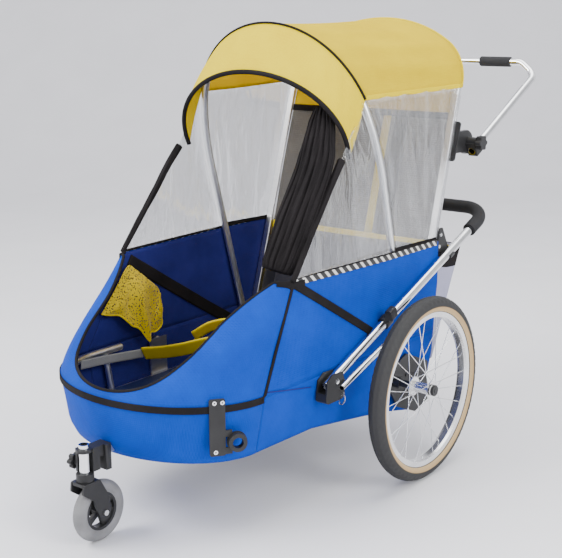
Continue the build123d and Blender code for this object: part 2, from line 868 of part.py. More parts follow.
with BuildPart() as mid_clamps:
    with BuildSketch(
        Plane(
            origin=on_bar(U_X, MID - 13),
            x_dir=(1, 0, 0),
            z_dir=on_bar(U_X, MID) - on_bar(U_X, MID - 1),
        )
    ):
        Circle(17)
        Circle(U_R + 0.1, mode=Mode.SUBTRACT)
        with Locations((BRACE_X - U_X, -30)):
            RectangleRounded(20, 30, 5)
        with Locations((16, -20)):
            Rectangle(14, 22)
        Circle(U_R + 0.1, mode=Mode.SUBTRACT)
        # flat side towards the tub
        with Locations((-24, 0)):
            Rectangle(20, 60, mode=Mode.SUBTRACT)
    extrude(amount=26)
    # stop arm behind the clamp
    with BuildSketch(side(352)):
        Polygon(
            (-56, 401), (-40, 404), (-14, 392), (4, 372), (-4, 364), (-24, 374), (-56, 384),
            align=None,
        )
    extrude(amount=5)
    mirror(about=Plane.YZ)
done(mid_clamps, "mid_clamps")

# ------------------------------------------------------------------ push handle
hd = (cos(radians(HANDLE_SLOPE)), sin(radians(HANDLE_SLOPE)))
# the tube runs 22 mm under the pivot stud
tube_low = (HP_Y + 22 * hd[1] - 14 * hd[0], HP_Z - 22 * hd[0] - 14 * hd[1])
GRIP_Y, GRIP_Z = 785.0, 1072.0
b_len = (776 - tube_low[0]) / hd[0]
H_A = spot(HANDLE_X, *tube_low)
H_B = spot(HANDLE_X - 3, tube_low[0] + b_len * hd[0], tube_low[1] + b_len * hd[1])
H_C = spot(258, GRIP_Y, GRIP_Z)


def flip(p):
    return Vector(-p.X, p.Y, p.Z)


with BuildPart() as handle_bar:
    with BuildLine() as handle_path:
        FilletPolyline(
            H_A, H_B, H_C, flip(H_C), flip(H_B), flip(H_A), radius=[42, 42, 42, 42]
        )
    with BuildSketch(Plane(origin=handle_path.line @ 0, z_dir=handle_path.line % 0)):
        Circle(HANDLE_R)
        Circle(HANDLE_R - 1.8, mode=Mode.SUBTRACT)
    sweep()
done(handle_bar, "handle_bar")

with BuildPart() as handle_grips:
    for x in (118, -223):
        with BuildSketch(Plane(origin=spot(x, GRIP_Y, GRIP_Z), z_dir=(1, 0, 0))):
            Circle(15.5)
            Circle(HANDLE_R + 0.15, mode=Mode.SUBTRACT)
        extrude(amount=105)
    fillet(handle_grips.edges().filter_by(lambda e: e.radius > 15 if e.geom_type == GeomType.CIRCLE else False), 3)
done(handle_grips, "handle_grips")

clamp_dir = (H_B - H_A).normalized()
with BuildPart() as handle_clamps:
    with BuildSketch(side(298.9)):
        with Locations(HANDLE_PIVOT):
            Circle(15)
        Polygon(
            *[
                (HP_Y + a * hd[0] + b * hd[1], HP_Z + a * hd[1] - b * hd[0])
                for a, b in ((-17, -6), (-14, 37), (16, 37), (17, -6))
            ],
            align=None,
        )
    extrude(amount=29)
    with BuildSketch(side(298)):
        with Locations(HANDLE_PIVOT):
            Circle(5 + FIT)
    extrude(amount=40, mode=Mode.SUBTRACT)
    with BuildSketch(Plane(origin=H_A - clamp_dir * 30, z_dir=clamp_dir)):
        Circle(HANDLE_R + 0.12)
    extrude(amount=120, mode=Mode.SUBTRACT)
    mirror(about=Plane.YZ)
done(handle_clamps, "handle_clamps")

with BuildPart() as handle_knob:
    with BuildSketch(side(332.2)):
        with Locations(HANDLE_PIVOT):
            Circle(17)
            with PolarLocations(15.5, 6):
                Circle(6.5)
    extrude(amount=17)
    with BuildSketch(side(328.3)):
        with Locations(HANDLE_PIVOT):
            Circle(11)
    extrude(amount=4)
    with BuildSketch(side(328)):
        with Locations(HANDLE_PIVOT):
            Circle(5 + FIT)
    extrude(amount=17.2, mode=Mode.SUBTRACT)
    fillet(handle_knob.faces().sort_by(Axis.X)[-1].edges(), 2)
pair(handle_knob, "handle_knob")

# ------------------------------------------------------------------ hitch bracket
# plate on the left of the nose, with a socket that takes the tow arm
HITCH = Plane(
    origin=spot(264.7 + 0.809 * 0.5, -663 - 0.588 * 0.5, 0),
    x_dir=(0.588, 0.809, 0),
    z_dir=(0.809, -0.588, 0),
)
HITCH_BORE = (43.0, 268.0, 12.7)
with BuildPart() as hitch_bracket:
    with BuildSketch(HITCH):
        with Locations((-2.5, 305)):
            RectangleRounded(38, 138, 5)
    extrude(amount=5)
    # socket: a short drum beside the plate, on two ribs
    with BuildSketch(HITCH):
        with Locations(HITCH_BORE[:2]):
            Circle(24)
        with Locations((17, 289), (17, 247)):
            Rectangle(30, 16)
    extrude(amount=5)
    with BuildSketch(HITCH.offset(5)):
        with Locations(HITCH_BORE[:2]):
            Circle(22)
    extrude(amount=13)
    with BuildSketch(HITCH.offset(-1)):
        with Locations(HITCH_BORE[:2]):
            Circle(HITCH_BORE[2])
    extrude(amount=30, mode=Mode.SUBTRACT)
done(hitch_bracket, "hitch_bracket")

with BuildPart() as hitch_rivets:
    with BuildSketch(HITCH.offset(5)):
        with Locations((-9.2, 365.4), (9.5, 365.4), (-8, 246.2)):
            Circle(5)
            Circle(2, mode=Mode.SUBTRACT)
    extrude(amount=2.6)
done(hitch_rivets, "hitch_rivets")

# ------------------------------------------------------------------ caster mount
with BuildPart() as caster_socket:
    # clamp block behind the stem
    with BuildSketch(level(185)):
        with Locations((-1, -814)):
            Rectangle(34, 22)
        with Locations((-17, -832)):
            Rectangle(7, 30)
    extrude(amount=58)
    # arm to the beam, with its hanging cheek
    with BuildSketch(level(216)):
        with Locations((0, -792)):
            Rectangle(30, 40)
    extrude(amount=27)
    with BuildSketch(level(180)):
        with Locations((4, -781.2)):
            RectangleRounded(40, 18, 4)
    extrude(amount=63)
    # ring round the top of the stem
    with BuildSketch(level(236)):
        with Locations((0, SWIVEL_Y)):
            Circle(19)
    extrude(amount=8)
    with BuildSketch(level(170)):
        with Locations((0, SWIVEL_Y)):
            Circle(STEM_R + FIT)
    extrude(amount=90, mode=Mode.SUBTRACT)
    # thread of the clamp knob
    with BuildSketch(side(-30)):
        with Locations((SWIVEL_Y, 206)):
            Circle(4 + FIT)
    extrude(amount=20, mode=Mode.SUBTRACT)
done(caster_socket, "caster_socket")

with BuildPart() as caster_knob:
    with BuildSketch(side(-42)):
        with Locations((SWIVEL_Y, 206)):
            Circle(14.5)
            with PolarLocations(13.5, 6):
                Circle(5.8)
    extrude(amount=15)
    with BuildSketch(side(-27)):
        with Locations((SWIVEL_Y, 206)):
            Circle(9)
    extrude(amount=6)
    with BuildSketch(side(-21)):
        with Locations((SWIVEL_Y, 206)):
            Circle(4)
    extrude(amount=7.6)
    fillet(caster_knob.faces().sort_by(Axis.X)[0].edges(), 2)
done(caster_knob, "caster_knob")

with BuildPart() as caster_stem:
    with BuildSketch(level(184.3)):
        with Locations((0, SWIVEL_Y)):
            Circle(STEM_R)
            Circle(9.7, mode=Mode.SUBTRACT)
    extrude(amount=70)
done(caster_stem, "caster_stem")

with BuildPart() as caster_collar:
    with BuildSketch(level(164.4)):
        with Locations((0, SWIVEL_Y)):
            Circle(21.5)
    extrude(amount=19.9)
    fillet(caster_collar.edges().group_by(Axis.Z)[-1], 3)
    with BuildSketch(level(160)):
        with Locations((0, SWIVEL_Y)):
            Circle(6)
    extrude(amount=30, mode=Mode.SUBTRACT)
done(caster_collar, "caster_collar")

with BuildPart() as caster_kingpin:
    with BuildSketch(level(155.6)):
        with Locations((0, SWIVEL_Y)):
            Circle(6)
    extrude(amount=29)
    with BuildSketch(level(152.8)):
        with Locations((0, SWIVEL_Y)):
            Circle(8.5)
    extrude(amount=2.8)
    with BuildSketch(level(184.6)):
        with Locations((0, SWIVEL_Y)):
            RegularPolygon(8.6, 6)
    extrude(amount=8)
done(caster_kingpin, "caster_kingpin")

with BuildPart() as caster_fork:
    for x0 in (18, -23.5):
        with BuildSketch(side(x0)):
            Polygon(
                (-863, 164),
                (-813, 164),
                (-806, 152),
                (-787, 116),
                (-781, 80),
                (-788, 60),
                (-801, 54),
                (-815, 60),
                (-822, 80),
                (-836, 118),
                (-866, 140),
                align=None,
            )
            fillet(vertices(), 5)
            with Locations((CASTER_Y, CASTER_R)):
                Circle(4, mode=Mode.SUBTRACT)
        extrude(amount=5.5)
    with BuildSketch(level(156)):
        with Locations((0, -838)):
            RectangleRounded(47, 50, 10)
        with Locations((0, SWIVEL_Y)):
            Circle(6 + FIT, mode=Mode.SUBTRACT)
    extrude(amount=8)
done(caster_fork, "caster_fork")

with BuildPart() as caster_axle:
    with BuildSketch(side(-23.8)):
        with Locations((CASTER_Y, CASTER_R)):
            Circle(4)
    extrude(amount=47.6)
    for x0 in (-28.6, 23.6):
        with BuildSketch(side(x0)):
            with Locations((CASTER_Y, CASTER_R)):
                RegularPolygon(7.5, 6)
        extrude(amount=5)
done(caster_axle, "caster_axle")

CASTER_RIM = 47.0
with BuildPart() as caster_tyre:
    with BuildSketch(Plane(origin=spot(0, CASTER_Y, CASTER_R), x_dir=(1, 0, 0), z_dir=(0, -1, 0))):
        with BuildLine():
            Polyline((-12, CASTER_RIM), (12, CASTER_RIM), (15, 54), (15, 62))
            ThreePointArc((15, 62), (10.6, 72), (0, CASTER_R))
            ThreePointArc((0, CASTER_R), (-10.6, 72), (-15, 62))
            Polyline((-15, 62), (-15, 54), (-12, CASTER_RIM))
        make_face()
    revolve(axis=Axis(spot(0, CASTER_Y, CASTER_R), (1, 0, 0)))
done(caster_tyre, "caster_tyre")

with BuildPart() as caster_hub:
    with BuildSketch(side(-11.5)):
        with Locations((CASTER_Y, CASTER_R)):
            Circle(CASTER_RIM - 0.05)
            Circle(40, mode=Mode.SUBTRACT)
    extrude(amount=23)
    with BuildSketch(side(-17.2)):
        with Locations((CASTER_Y, CASTER_R)):
            Circle(12)
    extrude(amount=34.4)
    with BuildSketch(side(-5)):
        with Locations((CASTER_Y, CASTER_R)):
            with PolarLocations(26, 5):
                Rectangle(34, 12)
    extrude(amount=10)
    with BuildSketch(side(-20)):
        with Locations((CASTER_Y, CASTER_R)):
            Circle(4 + FIT)
    extrude(amount=40, mode=Mode.SUBTRACT)
done(caster_hub, "caster_hub")

# ------------------------------------------------------------------ main wheels
wheel_axis = Axis(spot(0, 0, AXLE_Z), (1, 0, 0))
wheel_plane = Plane(origin=spot(WHEEL_X, 0, AXLE_Z), x_dir=(1, 0, 0), z_dir=(0, -1, 0))
TC = TYRE_R - TYRE_SECTION
with BuildPart() as tyre:
    with BuildSketch(wheel_plane):
        with Locations((0, TC)):
            Circle(TYRE_SECTION)
            Circle(TYRE_SECTION - 4, mode=Mode.SUBTRACT)
        with Locations((0, 200)):
            Rectangle(60, 22.4, mode=Mode.SUBTRACT)
    revolve(axis=wheel_axis)
pair(tyre, "tyre")

with BuildPart() as rim:
    with BuildSketch(wheel_plane):
        Polygon(
            (-16, RIM_OUT),
            (-13.4, RIM_OUT),
            (-12.4, 199),
            (12.4, 199),
            (13.4, RIM_OUT),
            (16, RIM_OUT),
            (14.5, 196.5),
            (8, RIM_IN),
            (-8, RIM_IN),
            (-14.5, 196.5),
            align=None,
        )
    revolve(axis=wheel_axis)
pair(rim, "rim")

HUB_IN, HUB_OUT = WHEEL_X - 34, WHEEL_X + 22  # inner and outer hub flange, middle
with BuildPart() as hub:
    with BuildSketch(side(HUB_IN - 7)):
        with Locations((0, AXLE_Z)):
            Circle(14)
    extrude(amount=HUB_OUT - HUB_IN + 10)
    for x0 in (HUB_IN - 1.5, HUB_OUT - 1.5):
        with BuildSketch(side(x0)):
            with Locations((0, AXLE_Z)):
                Circle(HUB_FLANGE_R + 3.5)
        extrude(amount=3)
    with BuildSketch(side(HUB_IN - 20)):
        with Locations((0, AXLE_Z)):
            Circle(AXLE_R + FIT)
    extrude(amount=100, mode=Mode.SUBTRACT)
pair(hub, "hub")

with BuildPart() as spokes:
    for i in range(SPOKES):
        inner = i % 2
        flange = HUB_IN + 0.9 * (1 if i % 4 < 2 else -1) if inner else HUB_OUT + 0.9 * (
            1 if i % 4 < 2 else -1
        )
        # tangential lacing: each spoke leaves its flange two rim holes away
        cross = 46 if i % 4 < 2 else -46
        rim_a = radians(360 / SPOKES * i)
        hub_a = rim_a + radians(cross)
        a = spot(flange, HUB_FLANGE_R * cos(hub_a), AXLE_Z + HUB_FLANGE_R * sin(hub_a))
        b = spot(
            WHEEL_X + (-3 if inner else 3),
            (RIM_IN + 1.5) * cos(rim_a),
            AXLE_Z + (RIM_IN + 1.5) * sin(rim_a),
        )
        with BuildSketch(along(a, b)):
            Circle(1.1)
        extrude(amount=(b - a).length)
pair(spokes, "spokes")

AXLE_END = HUB_OUT + 4.4
with BuildPart() as axle:
    with BuildSketch(side(313)):
        with Locations((0, AXLE_Z)):
            Circle(AXLE_R)
    extrude(amount=AXLE_END - 313)
    # shoulder against the receiver, so that the hub runs clear of it
    with BuildSketch(side(338.1)):
        with Locations((0, AXLE_Z)):
            Circle(10)
    extrude(amount=HUB_IN - 7.5 - 338.1)
    # cap that holds the wheel on, round its release button
    with BuildSketch(side(AXLE_END)):
        with Locations((0, AXLE_Z)):
            Circle(15)
    extrude(amount=7)
    fillet(axle.faces().sort_by(Axis.X)[-1].edges(), 2)
    with BuildSketch(side(AXLE_END)):
        with Locations((0, AXLE_Z)):
            Circle(7)
    extrude(amount=8, mode=Mode.SUBTRACT)
pair(axle, "axle")

with BuildPart() as release_button:
    with BuildSketch(side(AXLE_END + 3.2)):
        with Locations((0, AXLE_Z)):
            Circle(6.9)
    extrude(amount=5)
    fillet(release_button.faces().sort_by(Axis.X)[-1].edges(), 1)
pair(release_button, "release_button")
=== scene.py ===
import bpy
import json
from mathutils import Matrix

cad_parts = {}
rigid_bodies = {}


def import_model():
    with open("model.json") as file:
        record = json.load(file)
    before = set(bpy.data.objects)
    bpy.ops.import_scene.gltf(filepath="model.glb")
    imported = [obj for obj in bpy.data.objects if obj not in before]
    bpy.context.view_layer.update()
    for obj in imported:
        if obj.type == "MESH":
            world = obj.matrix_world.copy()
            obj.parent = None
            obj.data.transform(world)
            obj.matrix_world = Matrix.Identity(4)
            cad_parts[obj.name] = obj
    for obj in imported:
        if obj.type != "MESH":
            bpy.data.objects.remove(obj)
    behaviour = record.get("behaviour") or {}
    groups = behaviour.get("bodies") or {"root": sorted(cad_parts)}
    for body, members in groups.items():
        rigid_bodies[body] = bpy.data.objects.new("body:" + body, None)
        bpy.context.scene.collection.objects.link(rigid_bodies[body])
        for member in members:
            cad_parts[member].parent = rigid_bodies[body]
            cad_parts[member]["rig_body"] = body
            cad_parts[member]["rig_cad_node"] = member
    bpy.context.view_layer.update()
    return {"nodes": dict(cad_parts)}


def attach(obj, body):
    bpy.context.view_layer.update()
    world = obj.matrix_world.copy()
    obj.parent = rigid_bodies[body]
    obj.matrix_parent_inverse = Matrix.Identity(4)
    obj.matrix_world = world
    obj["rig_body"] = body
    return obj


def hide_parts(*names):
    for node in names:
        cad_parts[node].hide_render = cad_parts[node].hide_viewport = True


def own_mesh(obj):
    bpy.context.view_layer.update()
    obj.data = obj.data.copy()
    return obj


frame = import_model()

import json
from math import atan2, cos, degrees, pi, radians, sin, sqrt, tan

import bpy
import numpy as np
from mathutils import Matrix, Vector

AXLE_Y = 38.5
rng = np.random.default_rng(7)


# ------------------------------------------------------------------ points
def P(x, y, z):
    """A point from the axle line in mm, in the row frame in metres."""
    return np.array([x / 1000, (y + AXLE_Y) / 1000, z / 1000])


def lerp(a, b, t):
    return a + (b - a) * t


HOOP_FOOT, BOW_FOOT, BOW_SHOULDER = (288.4, 22.0), (288.0, None), (288.0, 735.0)
HOOP_PIVOT, HOOP_RISE = (99.0, 272.0), -0.2667
BOW_PIVOT, BOW_RISE = (137.0, 322.0), 0.299
HOOP_K, BOW_K = sqrt(1 + HOOP_RISE**2), sqrt(1 + BOW_RISE**2)


def hoop_v(z):
    return (z - 272) * HOOP_K


def bow_v(z):
    return (z - 322) * BOW_K


BOW_FOOT = (288.0, bow_v(1000.0) + 0.3)
HOOP_SHOULDER = (298.0, hoop_v(800.0))
HOOP_ARCS = [(700.0, 16.0), (287.0, 31.0)]
BOW_ARCS = [(135.0, 58.0)]


def lean(pivot, rise, x, v, off=0.0):
    """A point of a leaning plane: x across, v up the lean, off towards the nose."""
    k = sqrt(1 + rise * rise)
    y = pivot[0] + v * rise / k - off / k
    z = pivot[1] + v / k + off * rise / k
    return P(x, y, z)


def arch_line(foot, shoulder, arcs, off):
    heading = degrees(atan2(shoulder[1] - foot[1], shoulder[0] - foot[0]))
    ux, uy = cos(radians(heading)), sin(radians(heading))
    length = sqrt((shoulder[0] - foot[0]) ** 2 + (shoulder[1] - foot[1]) ** 2)
    pts = [(foot[0] + ux * length * i / 40 + uy * off, foot[1] + uy * length * i / 40 - ux * off) for i in range(40)]
    x, y = shoulder
    hx, hh = x, heading
    for r, turn in arcs:
        hx += r * (cos(radians(hh + 90)) - cos(radians(hh + turn + 90)))
        hh += turn
    top = (hx / sin(radians(hh)), 180 - hh)
    for r, turn in [*arcs, top]:
        cx, cy = x + r * cos(radians(heading + 90)), y + r * sin(radians(heading + 90))
        for i in range(60):
            a = radians(heading + turn * i / 60 + 90)
            pts.append((cx - (r + off) * cos(a), cy - (r + off) * sin(a)))
        heading += turn
        x, y = cx - r * cos(radians(heading + 90)), cy - r * sin(radians(heading + 90))
    return pts + [(0.0, y + off)]


def arch_cut(line, low, high, n):
    run = np.array([p for p in line if low <= p[1] <= high])
    d = np.concatenate([[0], np.cumsum(np.linalg.norm(np.diff(run, axis=0), axis=1))])
    t = np.linspace(0, d[-1], n + 1)
    return np.column_stack([np.interp(t, d, run[:, 0]), np.interp(t, d, run[:, 1])])


def hoop_line(off, low, high=2000.0, n=10):
    return arch_cut(arch_line(HOOP_FOOT, HOOP_SHOULDER, HOOP_ARCS, off), low, high, n)


def bow_line(off, low, high=2000.0, n=10):
    leg = [(294.5 + off + (BOW_FOOT[0] - 294.5) * i / 60, BOW_FOOT[1] * i / 60) for i in range(60)]
    return arch_cut(leg + arch_line(BOW_FOOT, BOW_SHOULDER, BOW_ARCS, off), low, high, n)


def whole(half):
    other = half[:-1][::-1].copy()
    other[:, 0] *= -1
    return np.vstack([half, other])


# ------------------------------------------------------------------ mesh building
def mesh_object(name, verts, faces, smooth=True):
    me = bpy.data.meshes.new(name)
    me.from_pydata([tuple(map(float, v)) for v in verts], [], faces)
    me.validate()
    me.update()
    if smooth:
        me.polygons.foreach_set("use_smooth", [True] * len(me.polygons))
    o = bpy.data.objects.new(name, me)
    bpy.context.scene.collection.objects.link(o)
    return o


def grid(name, rows, close_u=False, smooth=True):
    """Quad mesh over rows of points, all the same length."""
    rows = np.asarray(rows, float)
    m, n, _ = rows.shape
    faces = []
    for i in range(m - 1):
        for j in range(n if close_u else n - 1):
            k = (j + 1) % n
            faces.append((i * n + j, i * n + k, (i + 1) * n + k, (i + 1) * n + j))
    return mesh_object(name, rows.reshape(-1, 3), faces, smooth)


def apply_modifiers(o):
    bpy.context.view_layer.update()
    deps = bpy.context.evaluated_depsgraph_get()
    me = bpy.data.meshes.new_from_object(o.evaluated_get(deps))
    o.modifiers.clear()
    o.data = me
    return o


def thicken(o, t, offset=0.0, rim=True):
    s = o.modifiers.new("t", "SOLIDIFY")
    s.thickness = t / 1000
    s.offset = offset
    s.use_even_offset = True
    return apply_modifiers(o)


def noise3(p, seed=0):
    """Smooth sum of sines, for wrinkles and sag."""
    r = np.random.default_rng(seed)
    out = np.zeros(len(p))
    for _ in range(7):
        k = r.normal(size=3)
        k *= r.uniform(0.6, 1.8) / np.linalg.norm(k)
        out += np.sin(p @ k + r.uniform(0, 6.28))
    return out / 4


def frames_along(pts):
    pts = np.asarray(pts, float)
    t = np.gradient(pts, axis=0)
    t /= np.linalg.norm(t, axis=1)[:, None]
    n = np.cross(t[0], [0, 0, 1.0])
    if np.linalg.norm(n) < 0.2:
        n = np.cross(t[0], [0, 1.0, 0])
    n /= np.linalg.norm(n)
    ns = [n]
    for i in range(1, len(pts)):
        n = ns[-1] - t[i] * (ns[-1] @ t[i])
        ns.append(n / np.linalg.norm(n))
    ns = np.array(ns)
    return pts, t, ns, np.cross(t, ns)


def tube(name, pts, r, sides=12, caps=True, swell=None):
    pts, t, n, b = frames_along(pts)
    rows = []
    for i in range(len(pts)):
        a = np.linspace(0, 2 * pi, sides, endpoint=False)
        rr = r / 1000 * (swell(i / (len(pts) - 1), a) if swell else 1)
        rows.append(pts[i] + (np.cos(a) * rr)[:, None] * n[i] + (np.sin(a) * rr)[:, None] * b[i])
    o = grid(name, rows, close_u=True)
    if caps:
        me = o.data
        m, k = len(rows), sides
        verts = [tuple(v.co) for v in me.vertices]
        faces = [tuple(p.vertices) for p in me.polygons]
        faces.append(tuple(range(k))[::-1])
        faces.append(tuple(range((m - 1) * k, m * k)))
        bpy.data.objects.remove(o)
        o = mesh_object(name, verts, faces)
    return o


def strap(name, pts, across, width, thick=1.6, wave=0.0):
    """Flat webbing along pts; across gives the width direction at each point."""
    pts = np.asarray(pts, float)
    across = np.broadcast_to(np.asarray(across, float), pts.shape).copy()
    across /= np.linalg.norm(across, axis=1)[:, None]
    rows = []
    for i, p in enumerate(pts):
        w = np.linspace(-0.5, 0.5, 7) * width / 1000
        rows.append(p + w[:, None] * across[i])
    o = grid(name, rows)
    if wave:
        co = np.array([v.co for v in o.data.vertices])
        me = o.data
        nrm = np.array([v.normal for v in me.vertices])
        co += nrm * (noise3(co * 30, 3) * wave / 1000)[:, None]
        me.vertices.foreach_set("co", co.ravel())
    return thicken(o, thick)


def smooth_line(pts, n):
    """Catmull-Rom line through a few points."""
    p = np.asarray(pts, float)
    p = np.vstack([2 * p[0] - p[1], p, 2 * p[-1] - p[-2]])
    out = []
    seg = len(p) - 3
    for k in np.linspace(0, seg, n):
        i = min(int(k), seg - 1)
        t = k - i
        a, b, c, d = p[i : i + 4]
        out.append(0.5 * (2 * b + (c - a) * t + (2 * a - 5 * b + 4 * c - d) * t * t + (3 * b - 3 * c + d - a) * t**3))
    return np.array(out)


# ------------------------------------------------------------------ materials
def new_mat(name):
    m = bpy.data.materials.new(name)
    m.use_nodes = True
    nt = m.node_tree
    nt.nodes.clear()
    out = nt.nodes.new("ShaderNodeOutputMaterial")
    return m, nt, out


def node(nt, kind, **values):
    n = nt.nodes.new(kind)
    for k, v in values.items():
        if k in n.inputs:
            n.inputs[k].default_value = v
        else:
            setattr(n, k, v)
    return n


def coords(nt, scale=(1, 1, 1), rotation=(0, 0, 0)):
    tc = node(nt, "ShaderNodeTexCoord")
    mp = node(nt, "ShaderNodeMapping")
    mp.inputs["Scale"].default_value = scale
    mp.inputs["Rotation"].default_value = rotation
    nt.links.new(tc.outputs["Object"], mp.inputs["Vector"])
    return mp.outputs["Vector"]


def ramp(nt, fac, stops):
    r = node(nt, "ShaderNodeValToRGB")
    e = r.color_ramp.elements
    e[0].position, e[0].color = stops[0][0], (*stops[0][1], 1)
    e[1].position, e[1].color = stops[-1][0], (*stops[-1][1], 1)
    for pos, c in stops[1:-1]:
        k = e.new(pos)
        k.color = (*c, 1)
    nt.links.new(fac, r.inputs["Fac"])
    return r.outputs["Color"]


def weave_height(nt, pitch):
    """Crossing threads at the given pitch in mm."""
    v = coords(nt)
    hs = []
    for axis in ("X", "Y", "Z"):
        w = node(nt, "ShaderNodeTexWave", wave_type="BANDS", bands_direction=axis)
        w.inputs["Scale"].default_value = 1000 / pitch / 6.2832 * 1.0
        w.inputs["Distortion"].default_value = 0.6
        w.inputs["Detail"].default_value = 1.0
        w.inputs["Detail Scale"].default_value = 2.0
        nt.links.new(v, w.inputs["Vector"])
        hs.append(w.outputs["Fac"])
    a = node(nt, "ShaderNodeMath", operation="ADD")
    nt.links.new(hs[0], a.inputs[0])
    nt.links.new(hs[1], a.inputs[1])
    b = node(nt, "ShaderNodeMath", operation="ADD")
    nt.links.new(a.outputs[0], b.inputs[0])
    nt.links.new(hs[2], b.inputs[1])
    return b.outputs[0]


def fabric(name, color, dark, pitch=1.6, rough=0.75, sheen=0.25, weave=0.25, crease=0.35, see=0.0, alpha=None):
    m, nt, out = new_mat(name)
    v = coords(nt, (9, 9, 9))
    big = node(nt, "ShaderNodeTexNoise", Scale=1.0, Detail=5.0, Roughness=0.6)
    nt.links.new(v, big.inputs["Vector"])
    fine = node(nt, "ShaderNodeTexNoise", Scale=60.0, Detail=3.0)
    nt.links.new(v, fine.inputs["Vector"])
    mix = node(nt, "ShaderNodeMath", operation="MULTIPLY_ADD")
    nt.links.new(fine.outputs["Fac"], mix.inputs[0])
    mix.inputs[1].default_value = 0.35
    nt.links.new(big.outputs["Fac"], mix.inputs[2])
    col = ramp(nt, mix.outputs[0], [(0.42, dark), (0.85, color)])
    bs = node(nt, "ShaderNodeBsdfPrincipled")
    nt.links.new(col, bs.inputs["Base Color"])
    bs.inputs["Roughness"].default_value = rough
    bs.inputs["Sheen Weight"].default_value = sheen
    bs.inputs["Sheen Roughness"].default_value = 0.5
    bs.inputs["Specular IOR Level"].default_value = 0.12
    h = weave_height(nt, pitch)
    b1 = node(nt, "ShaderNodeBump")
    b1.inputs["Strength"].default_value = weave
    b1.inputs["Distance"].default_value = 0.0006
    nt.links.new(h, b1.inputs["Height"])
    b2 = node(nt, "ShaderNodeBump")
    b2.inputs["Strength"].default_value = crease
    b2.inputs["Distance"].default_value = 0.006
    nt.links.new(big.outputs["Fac"], b2.inputs["Height"])
    nt.links.new(b1.outputs["Normal"], b2.inputs["Normal"])
    nt.links.new(b2.outputs["Normal"], bs.inputs["Normal"])
    shader = bs.outputs[0]
    if see:
        tr = node(nt, "ShaderNodeBsdfTranslucent")
        nt.links.new(col, tr.inputs["Color"])
        nt.links.new(b2.outputs["Normal"], tr.inputs["Normal"])
        mx = node(nt, "ShaderNodeMixShader")
        mx.inputs[0].default_value = see
        nt.links.new(shader, mx.inputs[1])
        nt.links.new(tr.outputs[0], mx.inputs[2])
        shader = mx.outputs[0]
    if alpha:
        # open mesh: small holes between the threads
        vo = node(nt, "ShaderNodeTexVoronoi", feature="F1", Scale=alpha)
        nt.links.new(coords(nt), vo.inputs["Vector"])
        gt = node(nt, "ShaderNodeMath", operation="LESS_THAN")
        nt.links.new(vo.outputs["Distance"], gt.inputs[0])
        gt.inputs[1].default_value = 0.38
        tp = node(nt, "ShaderNodeBsdfTransparent")
        mx = node(nt, "ShaderNodeMixShader")
        nt.links.new(gt.outputs[0], mx.inputs[0])
        nt.links.new(shader, mx.inputs[1])
        nt.links.new(tp.outputs[0], mx.inputs[2])
        shader = mx.outputs[0]
    nt.links.new(shader, out.inputs["Surface"])
    return m


def metal(name, color, rough, streak=0.03, scale=(60, 60, 60), bump=0.02):
    m, nt, out = new_mat(name)
    bs = node(nt, "ShaderNodeBsdfPrincipled")
    bs.inputs["Metallic"].default_value = 1.0
    n = node(nt, "ShaderNodeTexNoise", Scale=1.0, Detail=6.0)
    nt.links.new(coords(nt, scale), n.inputs["Vector"])
    nt.links.new(ramp(nt, n.outputs["Fac"], [(0.3, tuple(c * 0.86 for c in color)), (0.7, color)]), bs.inputs["Base Color"])
    mr = node(nt, "ShaderNodeMapRange")
    mr.inputs["To Min"].default_value = max(rough - streak, 0.02)
    mr.inputs["To Max"].default_value = rough + streak
    nt.links.new(n.outputs["Fac"], mr.inputs["Value"])
    nt.links.new(mr.outputs[0], bs.inputs["Roughness"])
    b = node(nt, "ShaderNodeBump")
    b.inputs["Strength"].default_value = bump
    b.inputs["Distance"].default_value = 0.001
    nt.links.new(n.outputs["Fac"], b.inputs["Height"])
    nt.links.new(b.outputs["Normal"], bs.inputs["Normal"])
    nt.links.new(bs.outputs[0], out.inputs["Surface"])
    return m


def plastic(name, color, rough=0.45, grain=400.0, bump=0.25, spec=0.3):
    m, nt, out = new_mat(name)
    bs = node(nt, "ShaderNodeBsdfPrincipled")
    n = node(nt, "ShaderNodeTexNoise", Scale=grain, Detail=4.0)
    nt.links.new(coords(nt), n.inputs["Vector"])
    big = node(nt, "ShaderNodeTexNoise", Scale=18.0, Detail=4.0)
    nt.links.new(coords(nt), big.inputs["Vector"])
    nt.links.new(ramp(nt, big.outputs["Fac"], [(0.3, tuple(c * 0.8 for c in color)), (0.75, tuple(min(1, c * 1.25 + 0.004) for c in color))]), bs.inputs["Base Color"])
    mr = node(nt, "ShaderNodeMapRange")
    mr.inputs["To Min"].default_value = rough - 0.08
    mr.inputs["To Max"].default_value = rough + 0.12
    nt.links.new(big.outputs["Fac"], mr.inputs["Value"])
    nt.links.new(mr.outputs[0], bs.inputs["Roughness"])
    bs.inputs["Specular IOR Level"].default_value = spec
    b = node(nt, "ShaderNodeBump")
    b.inputs["Strength"].default_value = bump
    b.inputs["Distance"].default_value = 0.0005
    nt.links.new(n.outputs["Fac"], b.inputs["Height"])
    nt.links.new(b.outputs["Normal"], bs.inputs["Normal"])
    nt.links.new(bs.outputs[0], out.inputs["Surface"])
    return m


